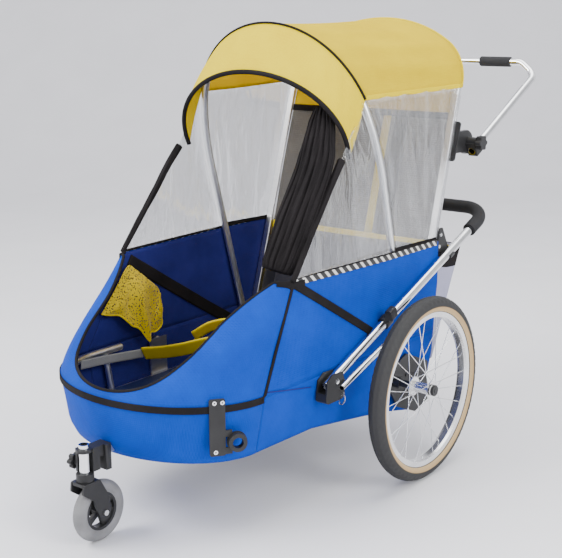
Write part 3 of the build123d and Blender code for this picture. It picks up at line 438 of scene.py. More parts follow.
def film(name, haze=0.05):
    m, nt, out = new_mat(name)
    tp = node(nt, "ShaderNodeBsdfTransparent")
    tp.inputs["Color"].default_value = (0.975, 0.98, 0.985, 1)
    gl = node(nt, "ShaderNodeBsdfGlossy")
    gl.inputs["Roughness"].default_value = 0.06
    gl.inputs["Color"].default_value = (1, 1, 1, 1)
    df = node(nt, "ShaderNodeBsdfDiffuse")
    df.inputs["Color"].default_value = (0.85, 0.87, 0.9, 1)
    n = node(nt, "ShaderNodeTexNoise", Scale=1.0, Detail=4.0, Distortion=1.2)
    nt.links.new(coords(nt, (9, 17, 3.5), (0.25, 0, 0)), n.inputs["Vector"])
    b = node(nt, "ShaderNodeBump")
    b.inputs["Strength"].default_value = 0.55
    b.inputs["Distance"].default_value = 0.012
    nt.links.new(n.outputs["Fac"], b.inputs["Height"])
    nt.links.new(b.outputs["Normal"], gl.inputs["Normal"])
    fr = node(nt, "ShaderNodeFresnel")
    fr.inputs["IOR"].default_value = 1.45
    nt.links.new(b.outputs["Normal"], fr.inputs["Normal"])
    cap = node(nt, "ShaderNodeMath", operation="MULTIPLY")
    nt.links.new(fr.outputs[0], cap.inputs[0])
    cap.inputs[1].default_value = 0.42
    cap.use_clamp = True
    m1 = node(nt, "ShaderNodeMixShader")
    nt.links.new(cap.outputs[0], m1.inputs[0])
    nt.links.new(tp.outputs[0], m1.inputs[1])
    nt.links.new(gl.outputs[0], m1.inputs[2])
    hz = node(nt, "ShaderNodeMapRange")
    hz.inputs["From Min"].default_value = 0.45
    hz.inputs["From Max"].default_value = 0.75
    hz.inputs["To Min"].default_value = haze * 0.4
    hz.inputs["To Max"].default_value = haze * 2.2
    nt.links.new(n.outputs["Fac"], hz.inputs["Value"])
    m2 = node(nt, "ShaderNodeMixShader")
    nt.links.new(hz.outputs[0], m2.inputs[0])
    nt.links.new(m1.outputs[0], m2.inputs[1])
    nt.links.new(df.outputs[0], m2.inputs[2])
    nt.links.new(m2.outputs[0], out.inputs["Surface"])
    return m


def piping_mat():
    """Reflective piping: slanted dark and light stripes."""
    m, nt, out = new_mat("reflective_piping")
    bs = node(nt, "ShaderNodeBsdfPrincipled")
    w = node(nt, "ShaderNodeTexWave", wave_type="BANDS", bands_direction="DIAGONAL")
    w.inputs["Scale"].default_value = 22.0
    nt.links.new(coords(nt, (0.2, 1, 1)), w.inputs["Vector"])
    nt.links.new(ramp(nt, w.outputs["Fac"], [(0.60, (0.012, 0.012, 0.013)), (0.72, (0.62, 0.62, 0.6))]), bs.inputs["Base Color"])
    bs.inputs["Roughness"].default_value = 0.4
    nt.links.new(bs.outputs[0], out.inputs["Surface"])
    return m


BLUE = fabric("blue_nylon", (0.0, 0.050, 0.40), (0.0, 0.034, 0.30), pitch=2.6, weave=0.35, crease=0.16, sheen=0.0)
BLUE_IN = fabric("blue_lining", (0.020, 0.024, 0.17), (0.011, 0.014, 0.11), pitch=2.6, crease=0.25, sheen=0.0)
YELLOW = fabric("yellow_nylon", (0.80, 0.62, 0.0), (0.74, 0.55, 0.0), pitch=2.4, crease=0.18, sheen=0.0, see=0.15)
ROOF = fabric("roof_nylon", (0.82, 0.645, 0.0), (0.76, 0.575, 0.0), pitch=2.4, crease=0.3, sheen=0.0, see=0.42)
YELLOW_MESH = fabric("yellow_mesh", (0.80, 0.60, 0.015), (0.55, 0.40, 0.01), pitch=3.4, weave=0.5, crease=0.5, see=0.2, alpha=190.0)
BLACK = fabric("black_binding", (0.014, 0.012, 0.013), (0.006, 0.0055, 0.006), pitch=1.8, crease=0.4, sheen=0.0, rough=0.85)
GREY_WEB = fabric("grey_webbing", (0.27, 0.275, 0.27), (0.20, 0.20, 0.20), pitch=2.0, crease=0.2)
PADDING = fabric("seat_cloth", (0.035, 0.035, 0.05), (0.018, 0.018, 0.026), pitch=2.0, crease=0.4)
REAR_MESH = fabric("rear_mesh", (0.150, 0.143, 0.135), (0.105, 0.10, 0.096), pitch=3.0, weave=0.6, crease=0.3, see=0.15)
PALE = fabric("pale_nylon", (0.60, 0.60, 0.76), (0.48, 0.48, 0.66), pitch=2.4, crease=0.5, see=0.4, sheen=0.05)
FILM = film("clear_film")
PIPING = piping_mat()
CHROME = metal("chrome_tube", (0.86, 0.87, 0.88), 0.13, 0.03, (30, 30, 30))
ALU = metal("aluminium_bar", (0.80, 0.80, 0.81), 0.30, 0.05, (25, 25, 420))
ALU_TUBE = metal("aluminium_tube", (0.82, 0.83, 0.84), 0.34, 0.05, (300, 40, 40))
RIM = metal("rim_alloy", (0.84, 0.84, 0.84), 0.24, 0.06, (300, 20, 20))
STEEL = metal("steel_zinc", (0.70, 0.71, 0.72), 0.28, 0.06, (150, 150, 150))
BLK_PLASTIC = plastic("black_plastic", (0.018, 0.018, 0.019), 0.42)
BLK_METAL = plastic("black_paint", (0.015, 0.015, 0.016), 0.34, 250, 0.12)
FOAM = plastic("foam_sleeve", (0.022, 0.022, 0.024), 0.82, 900, 0.8, 0.25)
CASTER_TYRE = plastic("caster_rubber", (0.19, 0.19, 0.195), 0.5, 300, 0.2)
FLOOR_BOARD = plastic("floor_panel", (0.012, 0.02, 0.07), 0.35, 90, 0.1)


def tyre_mat(name, cx):
    """Black tread and shoulders, tan side walls: by distance from the wheel's axle."""
    m, nt, out = new_mat(name)
    sep = node(nt, "ShaderNodeSeparateXYZ")
    mp = node(nt, "ShaderNodeMapping")
    mp.inputs["Location"].default_value = (0, -AXLE_Y / 1000, -0.25)
    tc = node(nt, "ShaderNodeTexCoord")
    nt.links.new(tc.outputs["Object"], mp.inputs["Vector"])
    nt.links.new(mp.outputs["Vector"], sep.inputs[0])
    yz = node(nt, "ShaderNodeCombineXYZ")
    nt.links.new(sep.outputs["Y"], yz.inputs[0])
    nt.links.new(sep.outputs["Z"], yz.inputs[1])
    ln = node(nt, "ShaderNodeVectorMath", operation="LENGTH")
    nt.links.new(yz.outputs[0], ln.inputs[0])
    n = node(nt, "ShaderNodeTexNoise", Scale=300.0, Detail=4.0)
    nt.links.new(coords(nt), n.inputs["Vector"])
    mr = node(nt, "ShaderNodeMapRange")
    mr.inputs["From Min"].default_value = 0.200
    mr.inputs["From Max"].default_value = 0.250
    nt.links.new(ln.outputs["Value"], mr.inputs["Value"])
    tan_c, blk = (0.50, 0.33, 0.15), (0.018, 0.018, 0.019)
    col = ramp(nt, mr.outputs[0], [(0.0, blk), (0.215, blk), (0.235, (0.56, 0.40, 0.20)), (0.46, tan_c), (0.50, blk), (1.0, (0.026, 0.026, 0.027))])
    mixc = node(nt, "ShaderNodeMixRGB", blend_type="MULTIPLY")
    mixc.inputs[0].default_value = 0.35
    nt.links.new(col, mixc.inputs[1])
    nt.links.new(n.outputs["Fac"], mixc.inputs[2])
    bs = node(nt, "ShaderNodeBsdfPrincipled")
    nt.links.new(mixc.outputs[0], bs.inputs["Base Color"])
    bs.inputs["Roughness"].default_value = 0.72
    b = node(nt, "ShaderNodeBump")
    b.inputs["Strength"].default_value = 0.3
    b.inputs["Distance"].default_value = 0.0006
    nt.links.new(n.outputs["Fac"], b.inputs["Height"])
    nt.links.new(b.outputs["Normal"], bs.inputs["Normal"])
    nt.links.new(bs.outputs[0], out.inputs["Surface"])
    return m


def paint(o, *mats):
    o.data.materials.clear()
    for m in mats:
        o.data.materials.append(m)
    return o


def piece(o, mat, body, slot, *replaced):
    paint(o, mat)
    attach(o, body)
    if replaced:
        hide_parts(*replaced)
    return o


def cloth(o, rows, slack=1.0):
    """Flat size of a sheet of cloth: width is its mean run across, length what its area needs. The size is worked out
    and not used.
    """
    area = sum(p.area for p in o.data.polygons) / 2
    rows = np.asarray(rows)
    width = float(np.mean([np.sum(np.linalg.norm(np.diff(r, axis=0), axis=1)) for r in rows]))
    flat = (width * slack, area / width * slack)
    if min(flat) < 0.012:
        return


N = frame["nodes"]
for names, mat in (
    (("floor_frame", "uprights"), ALU),
    (("nose_frame", "rear_bow", "front_hoop"), ALU_TUBE),
    (("u_bar", "handle_bar", "brace_tubes", "caster_stem", "left_spokes", "right_spokes", "left_ring_pin", "right_ring_pin", "hitch_rivets"), CHROME),
    (("left_rim", "right_rim", "left_hub", "right_hub"), RIM),
    (("pivot_pins", "frame_bolts", "caster_kingpin", "caster_axle"), STEEL),
    (("hinge_blocks", "bar_blocks", "bar_clips", "handle_hinges", "mid_clamps", "handle_clamps", "left_handle_knob", "right_handle_knob", "hitch_bracket", "caster_socket", "caster_knob", "caster_collar", "caster_hub", "left_release_button", "right_release_button"), BLK_PLASTIC),
    (("axle_brackets", "left_axle", "right_axle", "caster_fork"), BLK_METAL),
    (("bar_foam", "handle_grips"), FOAM),
    (("caster_tyre",), CASTER_TYRE),
    (("floor_board",), FLOOR_BOARD),
):
    for n in names:
        paint(N[n], mat)

# ------------------------------------------------------------------ tub: nose
NOSE = np.array([
    (208, 276.6, -547, 201), (240, 282.7, -547, 221), (351, 304.0, -547, 236), (400, 300.2, -520, 239),
    (450, 296.6, -493, 212), (530, 291.4, -449, 138), (597, 287.3, -413, 80), (602, 287.0, -410.3, 76),
], float)


def nose_b(z):
    """Depth of the nose in front of its seam: straight below the band, one smooth curve above it."""
    if z <= 351:
        return np.interp(z, NOSE[:, 0], NOSE[:, 3])
    pz, pb = NOSE[2:, 0], NOSE[2:, 3]
    m = np.gradient(pb, pz)
    m[0] = 0.25
    i = int(min(max(np.searchsorted(pz, z) - 1, 0), len(pz) - 2))
    h = pz[i + 1] - pz[i]
    t = (z - pz[i]) / h
    return (2 * t**3 - 3 * t**2 + 1) * pb[i] + (t**3 - 2 * t**2 + t) * h * m[i] + (-2 * t**3 + 3 * t**2) * pb[i + 1] + (t**3 - t**2) * h * m[i + 1]


def nose_at(z, phi):
    """Point of the nose skin: height z, angle phi from the middle (radians, + to the left)."""
    a = np.interp(z, NOSE[:, 0], NOSE[:, 1])
    s = np.interp(z, NOSE[:, 0], NOSE[:, 2])
    b = nose_b(z)
    return P(a * sin(phi), s - b * cos(phi), z)


def rim_z(phi):
    lo, hi = 351.0, 602.0
    f = lambda z: z - (378 + 0.695 * (nose_at(z, phi)[1] * 1000 - AXLE_Y + 767))
    if f(hi) < 0:
        return hi
    for _ in range(40):
        mid = (lo + hi) / 2
        if f(mid) > 0:
            hi = mid
        else:
            lo = mid
    return lo


M = 121
BAND_Z = 351.0
phis = np.linspace(-pi / 2, pi / 2, M)
tops = np.array([rim_z(f) for f in phis])


def nose_part(low, n):
    rows = []
    for t in np.linspace(0, 1, n):
        row = []
        for f, zt in zip(phis, tops):
            z = lerp(208.0, BAND_Z, t) if low else lerp(BAND_Z, zt, t)
            # taut cloth: tiny belly between the seams
            belly = 0.0012 * sin(4 * f + z / 40) * sin(pi * t)
            row.append(nose_at(z, f) + np.array([sin(f), -cos(f), 0]) * belly)
        rows.append(row)
    return np.array(rows)


nose_rows = nose_part(True, 12)
upper_rows = nose_part(False, 26)
nose = grid("nose_fabric", nose_rows)
nose_upper = grid("nose_upper_fabric", upper_rows)
thicken(nose_upper, 2.4, 1.0)
floor_rows = [lerp(nose_rows[0], np.column_stack([nose_rows[0][:, 0], np.full(M, P(0, -547, 0)[1]), nose_rows[0][:, 2]]), t) for t in (0, 0.5, 1)]
nose_floor = grid("nose_underside", floor_rows)
thicken(nose, 2.4, 1.0)
thicken(nose_floor, 2.4, 1.0)
piece(nose, BLUE, "chassis", "tub_fabric", "nose_panel")
piece(nose_upper, BLUE, "chassis", "tub_fabric", "nose_panel")
cloth(nose, nose_rows)
cloth(nose_upper, upper_rows)
piece(nose_floor, BLUE, "chassis", "tub_fabric")
for nm, part in (("nose_lining", nose_rows[1:]), ("nose_upper_lining", upper_rows[:-1])):
    lining = grid(nm, [[q * [0.985, 1, 1] + np.array([0, 0.0045 * cos(f), 0]) for q, f in zip(row, phis)] for row in part])
    thicken(lining, 0.8, 1.0)
    piece(lining, BLUE_IN, "chassis", "tub_fabric")

# ------------------------------------------------------------------ tub: sides
SEC_Y = np.array([-560.0, -40.0, 250.0])
SEC = {602: (279.0, 308.2, 308.8), 351: (303.9, 308.4, 309.5), 135: (261.8, 293.4, 311.0)}


def side_x(y, z):
    v = {k: np.interp(y, SEC_Y, s) for k, s in SEC.items()}
    return np.interp(z, [135, 351, 602], [v[135], v[351], v[602]])


FRONT_Y = np.array([(208, -546), (351, -546), (400, -519), (450, -492), (530, -448), (597, -412), (602, -409)], float)
REAR_Y = np.array([(140, 95), (215, 175), (289, 199), (433, 214), (486, 222), (602, 222)], float)
BOT = np.array([(-546, 208.5), (-360, 210), (-47, 166), (95, 140)], float)


def side_rows(low, off=0.0, nu=90):
    """Side panel below or above the height of the nose band, bottom row first."""
    rows = []
    for v in np.linspace(0, 1, 16 if low else 22):
        row = []
        for u in np.linspace(0, 1, nu):
            if low:
                z0 = np.interp(lerp(-546, 95, u), BOT[:, 0], BOT[:, 1])
                z = lerp(z0, BAND_Z, v)
            else:
                z = lerp(BAND_Z, 602.0, v)
            y = lerp(np.interp(z, FRONT_Y[:, 0], FRONT_Y[:, 1]), np.interp(z, REAR_Y[:, 0], REAR_Y[:, 1]), u)
            x = side_x(y, z) - off
            x += 1.0 * sin(y / 37 + z / 90) * sin(pi * u) * sin(pi * v)
            row.append(P(x, y, z))
        rows.append(row)
    return np.array(rows)


FLIP = np.array([-1.0, 1.0, 1.0])
for s, sname in ((1, "left"), (-1, "right")):
    flip = np.array([s, 1.0, 1.0])
    for low, part in ((True, ""), (False, "_upper")):
        w = side_rows(low) * flip
        if s < 0:
            w = w[:, ::-1]
        o = grid(sname + "_side" + part + "_fabric", w)
        thicken(o, 2.2, 1.0)
        piece(o, BLUE, "chassis", "tub_fabric", sname + "_side_panel")
        cloth(o, w)
        w = side_rows(low, 2.0) * flip
        o = grid(sname + "_side" + part + "_lining", w)
        thicken(o, 0.8)
        piece(o, BLUE_IN, "chassis", "tub_fabric")

    # seam between nose and side, the slanting seam and the band round the tub
    out = np.array([s, -0.15, 0.0])
    line = [nose_at(z, s * pi / 2) + out * 0.0036 for z in np.linspace(352, 600, 30)]
    piece(strap(sname + "_closing_seam", line, (0, 0.83, 0.45), 18, 1.4), BLACK, "chassis", "black_fabric")
    line = [P(side_x(y, z) + 3.6, y, z) * flip for y, z in zip(np.linspace(-404, -96, 40), np.linspace(594, 408, 40))]
    piece(strap(sname + "_slant_seam", line, (0, 0.5, 0.86), 22, 1.4), BLACK, "chassis", "black_fabric")
    # diagonal sleeve on the inner wall
    line = [P(side_x(y, z) - 5.6, y, z) * flip for y, z in zip(np.linspace(-397, 39, 40), np.linspace(578, 313, 40))]
    piece(strap(sname + "_inner_sleeve", line, (0, 0.52, 0.85), 34, 3.0, 1.0), BLACK, "chassis", "black_fabric")
    # top hem with reflective piping
    line = [P(side_x(y, 600) + 3.4, y, 600) * flip for y in np.linspace(-409, 214, 80)]
    piece(strap(sname + "_top_piping", line, (0, 0, 1), 15, 1.6), PIPING, "chassis", "black_fabric")
    line = [P(side_x(y, 607) - 0.5, y, 607) * flip for y in np.linspace(-409, 218, 80)]
    piece(tube(sname + "_top_hem", line, 3.4), BLACK, "chassis", "black_fabric")
    line = [P(side_x(y, z) + 3.0, y, z) * flip for y, z in zip(np.linspace(-538, -362, 24), np.linspace(363, 329, 24))]
    piece(strap(sname + "_side_seam", line, (0, 0.2, 1), 3.2, 1.0), BLUE_IN, "chassis", "tub_fabric")

for s, sname in ((1, "left"), (-1, "right")):
    line = [nose_at(594, s * f) + np.array([s, 0, 0]) * 0.0040 for f in np.linspace(radians(66), pi / 2, 20)]
    line += [P(side_x(y, 594) + 4.0, y, 594) * np.array([s, 1, 1]) for y in np.linspace(-404, -372, 6)]
    piece(strap(sname + "_corner_patch", line, (0, 0, 1), 18, 1.4), BLACK, "chassis", "black_fabric")
    ring = [P(s * (292 + 1 * cos(a)), -405 + 5 * cos(a), 614 + 5 * sin(a)) for a in np.linspace(0, 2 * pi, 25)]
    if s < 0:
        piece(tube(sname + "_strap_ring", ring, 1.4, 8, False), STEEL, "front_hoop", "steel")
band = [nose_at(348, f) + np.array([sin(f), -cos(f), 0]) * 0.0036 for f in np.linspace(-pi / 2, pi / 2, 120)]
piece(strap("nose_band", band, (0, 0, 1), 17, 1.6), BLACK, "chassis", "black_fabric")
hem = [nose_at(210, f) for f in np.linspace(-pi / 2, pi / 2, 120)]
piece(tube("nose_bottom_hem", hem, 2.4), BLACK, "chassis", "black_fabric")
rim = [nose_at(z, f) for z, f in zip(tops, phis)]
piece(tube("rim_binding", rim, 4.2), BLACK, "chassis", "black_fabric")
stitch = [nose_at(z - 9, f) + np.array([sin(f), -cos(f), 0]) * 0.001 for z, f in zip(tops, phis)]
piece(strap("rim_hem", stitch, (0, 0.3, 0.95), 8, 1.0), BLUE, "chassis", "tub_fabric")

# ------------------------------------------------------------------ canopy roof
ROOF_LOW = (hoop_v(1013.0), bow_v(1022.0))
hl, bl = whole(hoop_line(13.0, ROOF_LOW[0], n=48)), whole(bow_line(13.0, ROOF_LOW[1], n=48))
rows = []
for i in range(29):
    t = i / 28
    row = []
    for k, (h, b) in enumerate(zip(hl, bl)):
        q = lerp(lean(HOOP_PIVOT, HOOP_RISE, h[0], h[1]), lean(BOW_PIVOT, BOW_RISE, b[0], b[1]), t)
        c = np.array([q[0], 0, q[2] - 0.95])
        c /= np.linalg.norm(c)
        u = k / (len(hl) - 1)
        sag = 0.009 * sin(pi * t) ** 0.8 * (0.5 + 0.5 * sin(pi * u))
        ripple = 0.0022 * sin(pi * t) * sin(u * 61 + 3 * t) * (0.35 + abs(2 * u - 1))
        row.append(q - c * sag + c * ripple)
    rows.append(row)
roof = grid("roof_fabric", rows)
thicken(roof, 1.6)
piece(roof, ROOF, "rear_frame", "canopy_fabric", "roof_canopy")
cloth(roof, rows)
for name, edge, r in (("roof_front_binding", np.array(rows)[0], 3.0), ("roof_rear_binding", np.array(rows)[-1], 2.6)):
    piece(tube(name, edge, r), BLACK if "front" in name else YELLOW, "rear_frame", "canopy_fabric")
for k, nm in ((0, "left_roof_hem"), (-1, "right_roof_hem")):
    edge = np.array(rows)[:, k] + np.array([0.0006 if k == 0 else -0.0006, 0, 0.004])
    piece(strap(nm, edge, (0, 0, 1), 12, 1.8), YELLOW, "rear_frame", "canopy_fabric")

# ------------------------------------------------------------------ visor
VA, VB = 276.0, 182.0
vk = sqrt(1 + 0.333**2)
ts = np.radians(np.linspace(-9, 90, 49))
edge = whole(np.column_stack([VA * np.cos(ts), VB * vk * np.sin(ts)]))
hv = whole(hoop_line(12.6, ROOF_LOW[0], n=48))
rows = []
for i in range(17):
    t = i / 16
    row = []
    for k, (h, e) in enumerate(zip(hv, edge)):
        q = lerp(lean(HOOP_PIVOT, HOOP_RISE, h[0], h[1], 1.0), lean((-171, 900), -0.333, e[0], e[1]), t)
        c = np.array([q[0], 0, q[2] - 0.9])
        c /= np.linalg.norm(c)
        row.append(q + c * (0.005 * sin(pi * t) + 0.0012 * sin(pi * t) * sin(k * 0.9)))
    rows.append(row)
vis = grid("visor_fabric", rows)
thicken(vis, 1.8)
piece(vis, YELLOW, "front_hoop", "yellow_fabric", "visor")
cloth(vis, rows)
piece(tube("visor_binding", np.array(rows)[-1], 6.2), BLACK, "front_hoop", "black_fabric")
piece(tube("hoop_binding", [lean(HOOP_PIVOT, HOOP_RISE, a, b, 2.0) for a, b in whole(hoop_line(14.2, ROOF_LOW[0], n=48))], 3.0), BLACK, "front_hoop", "black_fabric")

# ------------------------------------------------------------------ clear windows
STRAP_LOW, STRAP_HIGH = P(290.5, -414.0, 604.5), P(276.5, -203.0, 866.0)
for s, sname in ((1, "left"), (-1, "right")):
    flip = np.array([s, 1.0, 1.0])
    h = hoop_line(12.4, hoop_v(604.5), ROOF_LOW[0] + 4, n=24)
    b = bow_line(12.4, bow_v(604.5), ROOF_LOW[1] + 4, n=24)
    rows = []
    for i in range(31):
        t = i / 30
        row = []
        for k, (p, q) in enumerate(zip(h, b)):
            a = lerp(lean(HOOP_PIVOT, HOOP_RISE, p[0], p[1]), lean(BOW_PIVOT, BOW_RISE, q[0], q[1]), t)
            v = k / 24
            a = a + np.array([1, 0, 0]) * (-0.006 * sin(pi * t) * sin(pi * v) + 0.0016 * sin(pi * t) * sin(13 * t + 4 * v) * sin(pi * v) + 0.001 * sin(31 * t + 2 * v) * sin(pi * t))
            row.append(a * flip)
        rows.append(row)
    o = grid(sname + "_side_window_film", rows)
    thicken(o, 0.6)
    piece(o, FILM, "rear_frame", "clear_film", *(["side_windows"] if s > 0 else []))
    cloth(o, rows)
    rows_a = np.array(rows)
    piece(strap(sname + "_window_sill", rows_a[:, 0] + np.array([0, 0, 0.003]), (0, 0, 1), 12, 1.2), BLACK, "rear_frame", "black_fabric")
    rows = []
    hh = hoop_line(11.4, hoop_v(604.5), ROOF_LOW[0] + 2, n=24)
    for i in range(21):
        t = i / 20
        row = []
        for k, p in enumerate(hh):
            v = k / 24
            a = lerp(lean(HOOP_PIVOT, HOOP_RISE, p[0], p[1], 10.0) * flip, lerp(STRAP_LOW, STRAP_HIGH, v) * flip, t)
            a = a + np.array([s, 0, 0]) * (-0.005 * sin(pi * t) * sin(pi * v) + 0.0013 * sin(pi * t) * sin(11 * t - 5 * v) * sin(pi * v))
            row.append(a)
        rows.append(row)
    o = grid(sname + "_front_window_film", rows)
    thicken(o, 0.6)
    piece(o, FILM, "front_hoop", "clear_film", *(["front_windows"] if s > 0 else []))
    cloth(o, rows)
    line = lerp(STRAP_LOW, STRAP_HIGH, np.linspace(-0.005, 1.02, 60)[:, None]) * flip
    line = line + np.array([0, -0.30, 0.95]) * (0.003 * np.sin(np.linspace(0, 1, 60) * pi))[:, None] + np.array([s, 0, 0]) * (0.0008 * np.sin(np.linspace(0, 9, 60)))[:, None]

    def rolled(t, a, s=s):
        return (1 + 0.12 * np.sin(5 * a + 9 * t) + 0.07 * np.sin(8 * a - 6 * t)) * (0.80 + 0.40 * t)

    piece(tube(sname + "_front_strap", line, 8.0, 30, True, rolled), BLACK, "front_hoop", "black_fabric")
# ------------------------------------------------------------------ gathered cover on the left of the opening
path = smooth_line([P(204, -176, 992), P(220, -214, 925), P(234, -258, 850), P(238, -338, 735), P(236, -410, 622)], 90)
path, tang, _, _ = frames_along(path)
hw = np.interp(np.linspace(0, 1, 90), [0, 0.12, 0.4, 0.75, 0.97, 1], [24, 34, 46, 48, 44, 38]) / 1000
ht = np.interp(np.linspace(0, 1, 90), [0, 0.12, 0.4, 0.75, 0.97, 1], [12, 17, 20, 21, 18, 12]) / 1000
rows = []
for i in range(90):
    t = i / 89
    w = np.array([0.90, 0.43, 0.0])
    w = w - tang[i] * (w @ tang[i])
    w /= np.linalg.norm(w)
    b = np.cross(tang[i], w)
    row = []
    for a in np.linspace(0, 2 * pi, 120, endpoint=False):
        u = cos(a)
        fold = 1 + 0.17 * sin(19 * a + 3 * t) + 0.10 * sin(31 * a - 5 * t) + 0.06 * sin(7 * a + 22 * t)
        row.append(path[i] + w * hw[i] * u * (1 + 0.03 * sin(9 * t + 5 * a)) + b * ht[i] * sin(a) * fold)
    rows.append(row)
cover = grid("gathered_cover", rows, close_u=True)
me = cover.data
vs = [tuple(v.co) for v in me.vertices]
fs = [tuple(p.vertices) for p in me.polygons] + [tuple(range(120))[::-1], tuple(range(89 * 120, 90 * 120))]
bpy.data.objects.remove(cover)
cover = mesh_object("gathered_cover", vs, fs)
piece(cover, BLACK, "front_hoop", "black_fabric", "rolled_cover")
cloth(cover, np.array(rows).transpose(1, 0, 2))

# ------------------------------------------------------------------ rear panel with its bands
bp = bow_line(-10.8, bow_v(1004), n=30)
half_w = np.array([(bow_v(345), 262), (bow_v(372), 262), (bow_v(380), 279), (bow_v(1003), 276.5)])
half_w = np.vstack([half_w, bp[:, ::-1]])


def rear_zone(name, z0, z1, mat, off, x0=None, x1=None, n=12, slotname="rear_mesh", thick=1.4, replaced=()):
    rows = []
    vtop = half_w[-1, 0]
    for i in range(n + 1):
        v = lerp(bow_v(z0), min(bow_v(z1), vtop - 0.4), i / n)
        w = np.interp(v, half_w[:, 0], half_w[:, 1])
        a = -w if x0 is None else x0
        b = w if x1 is None else x1
        rows.append([lean(BOW_PIVOT, BOW_RISE, x, v, off + 1.6 * sin(x / 60 + v / 80)) for x in np.linspace(a, b, 41 if x0 is None else 7)])
    o = grid(name, rows)
    thicken(o, thick)
    piece(o, mat, "rear_frame", slotname, *replaced)
    cloth(o, rows)
    return o


rear_zone("rear_panel_low", 345, 578, PADDING, 0, slotname="seat_padding")
rear_zone("rear_yellow_band", 577, 601, YELLOW, 2.6, slotname="yellow_fabric", n=4)
rear_zone("rear_panel_mesh", 600, 942, REAR_MESH, 0, n=24, replaced=("rear_panel",))
rear_zone("rear_panel_top", 940, 1200, ROOF, 0, n=30, slotname="canopy_fabric")
rear_zone("rear_black_strip", 600, 942, BLACK, 3.2, 103, 147, n=16, slotname="black_fabric")
rear_zone("rear_yellow_strip", 600, 942, YELLOW, 3.2, 62, 88, n=16, slotname="yellow_fabric")
rear_zone("rear_top_band", 932, 950, BLACK, 3.4, n=4, slotname="black_fabric")


# ------------------------------------------------------------------ padded seat
def pad(name, lo, hi, place, channels, crown):
    """Crowned pad over a rectangle, sides drawn in between the corners, with sewn channels.
    place(a, b, h) puts plan position a, b and height h into the row frame."""
    nx, ny = 61, 41
    top, bottom = [], []
    for j in range(ny):
        v = 2 * j / (ny - 1) - 1
        rt, rb = [], []
        for i in range(nx):
            u = 2 * i / (nx - 1) - 1
            ru, rv = abs(u) ** 6, abs(v) ** 6
            edge = max(0.0, 1 - (ru + rv - ru * rv))
            a = lo[0] + (hi[0] - lo[0]) * (u * (1 - 0.012 * (1 - v * v)) + 1) / 2
            b = lo[1] + (hi[1] - lo[1]) * (v * (1 - 0.02 * (1 - u * u)) + 1) / 2
            h = crown * edge**0.42
            for c in channels:
                h -= 0.16 * crown * np.exp(-(((u - c) * 30) ** 2)) * edge
            h += 0.02 * crown * sin(9 * u + 3 * v) * edge
            rt.append(place(a, b, h))
            rb.append(place(a, b, 0.0))
        top.append(rt)
        bottom.append(rb)
    o = grid(name, top)
    o2 = grid(name + "_b", bottom)
    verts = [tuple(v.co) for v in o.data.vertices] + [tuple(v.co) for v in o2.data.vertices]
    k = nx * ny
    faces = [tuple(p.vertices) for p in o.data.polygons] + [tuple(x + k for x in p.vertices)[::-1] for p in o2.data.polygons]
    loop = [i for i in range(nx)] + [j * nx + nx - 1 for j in range(1, ny)] + [(ny - 1) * nx + i for i in range(nx - 2, -1, -1)] + [j * nx for j in range(ny - 2, 0, -1)]
    for a, b in zip(loop, loop[1:] + loop[:1]):
        faces.append((a, a + k, b + k, b))
    bpy.data.objects.remove(o)
    bpy.data.objects.remove(o2)
    return mesh_object(name, verts, faces)


seat = pad("seat_pad", (-238, -148), (238, 98), lambda a, b, h: P(a, b, 247.5 + h), (-0.34, 0.0, 0.34), 50)
piece(seat, PADDING, "chassis", "seat_padding", "seat_cushion")
v0, v1 = bow_v(352), bow_v(588)
back = pad("seat_back_pad", (-234, v0), (234, v1), lambda a, b, h: lean(BOW_PIVOT, BOW_RISE, a, b, 4.5 + h), (-0.34, 0.0, 0.34), 23)
piece(back, PADDING, "rear_frame", "seat_padding", "seat_back")

# harness: grey webbing along the far wall, then the yellow padded strap across the footwell
web = smooth_line([P(-262, -606, 338), P(-263, -540, 333), P(-262, -460, 325), P(-258, -384, 318)], 40)
piece(strap("grey_web", web, (0.10, 0, 1), 25, 2.0, 0.3), GREY_WEB, "chassis", "grey_webbing")
path = smooth_line([P(-258, -384, 317), P(-206, -354, 323), P(-150, -332, 337), P(-98, -310, 354), P(-48, -288, 366), P(20, -240, 366), P(80, -180, 345)], 60)
hs = strap("harness_pad", path, (0.10, -0.50, 0.86), 46, 7.0, 1.0)
bev = hs.modifiers.new("s", "SUBSURF")
bev.levels = 1
bev.render_levels = 1
apply_modifiers(hs)
piece(hs, YELLOW, "chassis", "yellow_fabric", "harness_strap")
path = smooth_line([P(-180, -262, 352), P(-128, -238, 386), P(-60, -204, 398), P(20, -150, 380), P(90, -90, 345)], 50)
piece(strap("harness_tail", path, (0.10, -0.60, 0.78), 36, 5.0, 1.0), YELLOW, "chassis", "yellow_fabric")

# mesh pocket on the right inner wall
top_edge = smooth_line([P(0, y, z) for y, z in ((-516, 454), (-470, 510), (-419, 567), (-384, 552), (-340, 517), (-301, 485), (-293, 470))], 61)
low_edge = smooth_line([P(0, y, z) for y, z in ((-516, 454), (-485, 445), (-455, 438), (-431, 417), (-412, 400), (-386, 386), (-362, 352), (-353, 346), (-343, 366), (-317, 363), (-296, 382), (-303, 430), (-293, 468))], 61)
rows = []
for i in range(41):
    v = i / 40
    row = []
    for j in range(61):
        u = j / 60
        q = lerp(top_edge[j], low_edge[j], v)
        full = sin(pi * min(1, max(0, u))) ** 0.6
        fold = 0.012 * sin(pi * v) * full * abs(sin(7.5 * u + 1.4 * v)) + 0.004 * full * sin(19 * u - 3 * v) * v + 0.003 * sin(9 * v + 11 * u) * full
        wall = side_x(q[1] * 1000 - AXLE_Y, q[2] * 1000) if q[1] * 1000 - AXLE_Y > -545 else 285
        row.append(np.array([-(min(wall, 296) - 14) / 1000 + 0.006 + 0.012 * v * full + fold, q[1], q[2]]))
    rows.append(row)
pocket = grid("mesh_pocket", rows)
thicken(pocket, 0.9)
